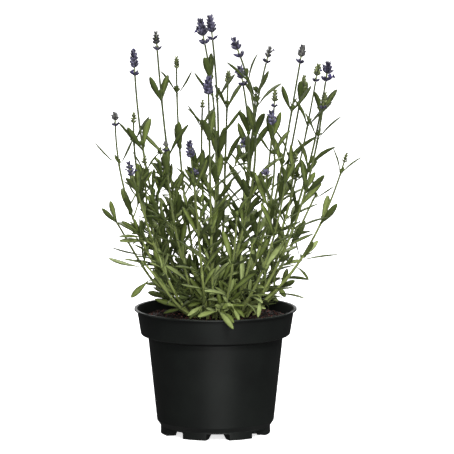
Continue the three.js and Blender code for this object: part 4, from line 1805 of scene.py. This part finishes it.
@dataclass
class NurseryPot:
    """The thin-walled moulded pot, in millimetres; it repeats the solids' sizes."""

    height: float
    rim_radius: float
    lip_width: float = 3.0
    lip_height: float = 2.6
    collar_height: float = 26.0
    collar_taper: float = 0.16
    ledge: float = 7.6
    ledge_drop: float = 3.4
    draft: float = 0.107
    wall: float = 1.4
    floor: float = 1.6
    step_in: float = 3.8
    step_top: float = 13.5
    step_bottom: float = 8.0
    foot_height: float = 6.8
    foot_count: int = 7
    foot_depth: float = 10.0
    notch_width: float = 27.0
    notch_taper: float = 8.5
    notch_turn: float = 2.3  # degrees
    centre_foot_radius: float = 8.0
    drain_radius: float = 4.5
    edge_radius: float = 0.45
    sides: int = 140

    SMOOTH, SHARP = math.radians(35), math.radians(22)

    def collar_radius(self, z: float) -> float:
        """The collar's outer radius at a height."""
        lip_bottom = self.height - self.lip_height
        return self.rim_radius - self.lip_width - self.collar_taper * (lip_bottom - z)

    def wall_radius(self, z: float) -> float:
        """The wall's outer radius at a height."""
        ledge_top = self.height - self.collar_height
        ledge_bottom = ledge_top - self.ledge_drop
        return self.collar_radius(ledge_top) - self.ledge - self.draft * (ledge_bottom - z)

    @property
    def base_radius(self) -> float:
        """The outer radius of the base band and the feet."""
        return self.wall_radius(self.step_top) - self.step_in

    def outline(self) -> list[tuple[float, float]]:
        """Draw the shell's section.

        Returns:
            Radius and height from the bottom's middle round the outside to the inside's middle.
        """
        base, height = self.base_radius, self.height
        ring = base - self.foot_depth
        lip_bottom = height - self.lip_height
        ledge_top = height - self.collar_height
        ledge_bottom = ledge_top - self.ledge_drop
        floor_top = self.foot_height + self.floor
        outside = [
            (self.centre_foot_radius, 0),
            (self.centre_foot_radius + 0.4, self.foot_height),
            (ring, self.foot_height),
            (ring + 0.5, 0),
            (base, 0),
            (base, self.step_bottom),
            (self.wall_radius(self.step_top), self.step_top),
            (self.wall_radius(ledge_bottom), ledge_bottom),
            (self.collar_radius(ledge_top) - 0.6, ledge_top - 0.8),
            (self.collar_radius(ledge_top), ledge_top),
            (self.collar_radius(lip_bottom), lip_bottom),
            (self.rim_radius, height - self.wall),
            (self.rim_radius, height),
        ]
        thick = self.wall
        inside = [
            (self.collar_radius(height) - thick + 1, height),
            (self.collar_radius(lip_bottom) - thick, lip_bottom),
            (self.collar_radius(ledge_top) - thick, ledge_top + thick),
            (self.wall_radius(ledge_bottom) - thick, ledge_bottom + thick),
            (self.wall_radius(self.step_top) - thick, self.step_top + thick),
            (base - thick, self.step_bottom + thick + 0.5),
            (base - thick, floor_top),
            (self.centre_foot_radius, floor_top),
        ]
        return outside + inside

    def notch(self, index: int) -> bpy.types.Object:
        """Model the cutter for a notch between two feet.

        Args:
            index: which notch, from the front one round.

        Returns:
            The cutter: a wedge, wider at its outer end.
        """
        inner, outer = self.base_radius - self.foot_depth - 1, self.base_radius + 1
        deselect_all()
        bpy.ops.mesh.primitive_cube_add(size=1, location=(0, 0, 0))
        cutter = active()
        half_outer = self.notch_width / 2
        half_top = half_outer - self.notch_taper
        half_low = (half_outer + half_top) / 2
        angle = self.notch_angle(index)
        for vertex in cutter.data.vertices:
            far, left, high = vertex.co.x > 0, vertex.co.y > 0, vertex.co.z > 0
            half = half_outer if far else (half_top if high else half_low)
            x = outer if far else inner
            y = half if left else -half
            z = self.foot_height if high else -1.0
            across = x * math.cos(angle) - y * math.sin(angle)
            along = x * math.sin(angle) + y * math.cos(angle)
            vertex.co = Vector((across, along, z))
            vertex.co *= MM
        return cutter

    def notch_angle(self, index: int) -> float:
        """The direction of a notch's middle."""
        return index * 2 * math.pi / self.foot_count + math.radians(self.notch_turn - 90)

    def drain(self, index: int) -> bpy.types.Object:
        """Model the cutter for a drain hole inside a notch.

        Args:
            index: which notch, from the front one round.

        Returns:
            The cutter.
        """
        radius = self.base_radius - self.wall - self.drain_radius - 1
        angle = self.notch_angle(index)
        place = (radius * math.cos(angle) * MM, radius * math.sin(angle) * MM, self.foot_height * MM)
        deselect_all()
        bpy.ops.mesh.primitive_cylinder_add(
            vertices=24, radius=self.drain_radius * MM, depth=4 * self.floor * MM, location=place
        )
        bpy.ops.object.transform_apply(location=True)
        return active()

    def build(self) -> bpy.types.Object:
        """Model and dress the pot.

        Returns:
            The piece, riding on the body and standing for its node.
        """
        pot = turned("moulded_pot", self.outline(), self.sides)
        for index in range(self.foot_count):
            for cutter in (self.notch(index), self.drain(index)):
                apply_modifier(pot, "BOOLEAN", operation="DIFFERENCE", object=cutter, solver="EXACT")
                bpy.data.objects.remove(cutter)
        apply_modifier(
            pot, "BEVEL", width=self.edge_radius * MM, segments=2, limit_method="ANGLE",
            angle_limit=self.SHARP,
        )
        make_active(pot)
        bpy.ops.object.shade_smooth_by_angle(angle=self.SMOOTH)
        # Painted highlight lines along the lip's top and the base step's edge.
        edges = ((self.height, 0.6), (self.step_bottom + 0.4, 0.35))
        pot.data.materials.append(MouldedPolypropylene(edges=edges).material())
        stands_for(pot, "nursery_pot")
        return pot


@dataclass
class PottingSoil:
    """The soil: an uneven dome with loose crumbs of peat, in millimetres."""

    soil: Soil
    depth: float = 12.0
    rings: int = 26
    sides: int = 120
    clod: float = 5.0
    uneven: float = 3.2
    crumbs: int = 2600
    shapes: int = 6
    largest: float = 2.2

    def dome(self) -> bpy.types.Object:
        """Model the soil's top as a closed disc with an uneven surface.

        Returns:
            The dome.
        """
        shape = self.soil
        bottom = shape.edge - self.depth
        outline = [(8.0, bottom), (shape.radius - 1.5, bottom), (shape.radius - 0.2, shape.edge - 0.8)]
        for i in range(self.rings):
            radius = shape.radius * (1 - i / self.rings) - 0.5
            outline.append((max(radius, 1.0), shape.height(radius)))
        piece = turned("peat", outline, self.sides)
        make_active(piece)
        texture = bpy.data.textures.new("clods", "CLOUDS")
        texture.noise_scale = self.clod * MM
        texture.noise_depth = 3
        group = piece.vertex_groups.new(name="top")
        top = [v.index for v in piece.data.vertices if v.co.z > (shape.edge - 0.5) * MM]
        group.add(top, 1.0, "REPLACE")
        apply_modifier(
            piece, "DISPLACE", texture=texture, texture_coords="LOCAL", direction="Z", mid_level=0.5,
            strength=self.uneven * MM, vertex_group="top",
        )
        piece.data.attributes.new("tint", "FLOAT", "POINT")
        return piece

    @staticmethod
    def crumb(generator: random.Random) -> Template:
        """Model one crumb of peat.

        Args:
            generator: the source of its irregular shape.

        Returns:
            The crumb's template.
        """
        deselect_all()
        bpy.ops.mesh.primitive_ico_sphere_add(subdivisions=1, radius=1)
        piece = active()
        for vertex in piece.data.vertices:
            vertex.co *= generator.uniform(0.6, 1.25)
        return Template.from_object(piece)

    def build(self) -> bpy.types.Object:
        """Model and dress the soil.

        Returns:
            The piece, riding on the body and standing for its node.
        """
        generator = random.Random(SEED + 3)
        shapes = [self.crumb(generator) for _ in range(self.shapes)]
        copies = Copies()
        for _ in range(self.crumbs):
            radius = (self.soil.radius - 2.0) * math.sqrt(generator.random())
            angle = generator.uniform(0, 2 * math.pi)
            size = min(self.largest, 0.45 + generator.expovariate(2.4))
            height = self.soil.height(radius) + 0.3 * size + generator.uniform(-0.6, 0.5)
            place = np.array([radius * math.cos(angle), radius * math.sin(angle), height])
            shape = generator.choice(shapes)
            turn = generator.uniform(0, 2 * math.pi)
            c, s = math.cos(turn), math.sin(turn)
            spin = np.array([[c, -s, 0], [s, c, 0], [0, 0, 1]])
            stretch = np.array([1.0, generator.uniform(0.5, 1.0), generator.uniform(0.5, 0.9)])
            points = (shape.points * stretch * size) @ spin.T + place
            copies.add(shape, points * MM, 0, generator.random() ** 1.6)
        peat = MoistPeat().material()
        crumbs = copies.piece("peat_soil", [peat])
        crumbs.data.polygons.foreach_set("use_smooth", [False] * len(crumbs.data.polygons))
        dome = self.dome()
        dome.data.materials.append(peat)
        make_active(crumbs, dome)
        bpy.ops.object.join()
        stands_for(crumbs, "potting_soil")
        return crumbs


# ------------------------------------------------------------------ studio


@dataclass
class Studio:
    """A plain pale floor, soft light and the camera, in metres, degrees and watts."""

    target: tuple[float, float, float] = (0.0120, 0.0, 0.2164)
    view_width: float = 0.4735
    elevation: float = 8.3
    distance: float = 7.0
    sensor: float = 36.0
    reach: float = 100.0
    zenith: float = 0.7
    horizon: float = 0.08
    nadir: float = 0.35
    floor_size: float = 60.0
    floor_glow: float = 0.72
    # Each light's name, place, side and power.
    lights: tuple[tuple[str, tuple[float, float, float], float, float], ...] = (
        ("key", (0.7, -2.6, 2.5), 0.9, 100),
        ("front", (0.3, -2.7, 0.4), 1.9, 66),
        ("back", (-0.2, 2.6, 2.4), 1.4, 84),
    )

    def build(self) -> None:
        """Set up the floor, the lights and the camera."""
        self.add_floor()
        self.add_world()
        for name, place, side, power in self.lights:
            self.add_light(name, place, side, power)
        self.add_camera()
        bpy.context.scene.view_settings.view_transform = "Standard"

    def add_floor(self) -> None:
        """Lay a wide pale floor that neither mirrors in the pot nor lights it from below."""
        deselect_all()
        bpy.ops.mesh.primitive_plane_add(size=self.floor_size)
        floor = active()
        floor.name = "floor"
        material, _tree, shader = new_material("pale_floor")
        fill_inputs(shader, Base_Color=linear("#F7F7F7"), Roughness=0.9, Specular_IOR_Level=0.1)
        fill_inputs(shader, Emission_Color=linear("#FFFFFF"), Emission_Strength=self.floor_glow)
        floor.data.materials.append(material)
        floor.visible_glossy = False
        floor.visible_diffuse = False

    def add_world(self) -> None:
        """Light the studio from a wide ceiling that darkens to the horizon, and softly from below."""
        world = bpy.data.worlds.new("studio")
        world.use_nodes = True
        tree = world.node_tree
        place = add_node(tree, "TexCoord", {"out": "Generated"})
        up = add_node(tree, "SeparateXYZ", {"out": "Z"}, Vector=place)
        above = add_node(
            tree, "MapRange", Value=up, From_Max=0.9, To_Min=self.horizon, To_Max=self.zenith
        )
        below = add_node(tree, "MapRange", Value=up, From_Min=-0.5, From_Max=-1.0, To_Max=self.nadir)
        level = add_node(tree, "Math", ADD, _0=above, _1=below)
        fill_inputs(tree.nodes["Background"], Color=linear("#FFFFFF"), Strength=level)
        bpy.context.scene.world = world

    def add_light(self, name: str, place: tuple[float, float, float], size: float, power: float) -> None:
        """Add a soft box that looks at the plant.

        Args:
            name: the light's name.
            place: where it stands.
            size: the side of its square.
            power: its power in watts.
        """
        deselect_all()
        bpy.ops.object.light_add(type="AREA", location=place)
        light = active()
        light.name = name
        light.data.size = size
        light.data.energy = power
        aim = Vector(self.target) - Vector(place)
        light.rotation_euler = aim.to_track_quat("-Z", "Y").to_euler()

    def add_camera(self) -> None:
        """Add the camera, with a long lens, a little above the pot's lip."""
        angle = math.radians(self.elevation)
        back = Vector((0, -math.cos(angle), math.sin(angle))) * self.distance
        deselect_all()
        bpy.ops.object.camera_add(location=Vector(self.target) + back)
        camera = active()
        camera.rotation_euler = (-back).to_track_quat("-Z", "Y").to_euler()
        camera.data.sensor_width = self.sensor
        camera.data.lens = self.sensor * self.distance / self.view_width
        camera.data.clip_end = self.reach
        bpy.context.scene.camera = camera


def main() -> None:
    """Build the lavender and its studio."""
    logging.basicConfig(level=logging.INFO, format="%(name)s: %(message)s")
    pot_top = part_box("nursery_pot")[1]
    soil_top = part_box("potting_soil")[1]
    height, rim = pot_top.z / MM, pot_top.x / MM
    pot = NurseryPot(height=height, rim_radius=rim)
    edge = height - SOIL_EDGE_DEPTH
    mouth = pot.collar_radius(edge) - pot.wall
    soil = Soil(crown=soil_top.z / MM, edge=edge, radius=mouth - HABIT.gap)
    pieces = [pot.build(), PottingSoil(soil).build()]
    plant = Plant(soil, height, rim, mouth)
    shoots = Shoots(plant)
    pieces += shoots.build() + FlowerSpikes(plant, shoots.leaf).build()
    for piece in pieces:
        LOG.info("%s: %d faces", piece.name, len(piece.data.polygons))
    Studio().build()


if __name__ == "__main__":
    main()
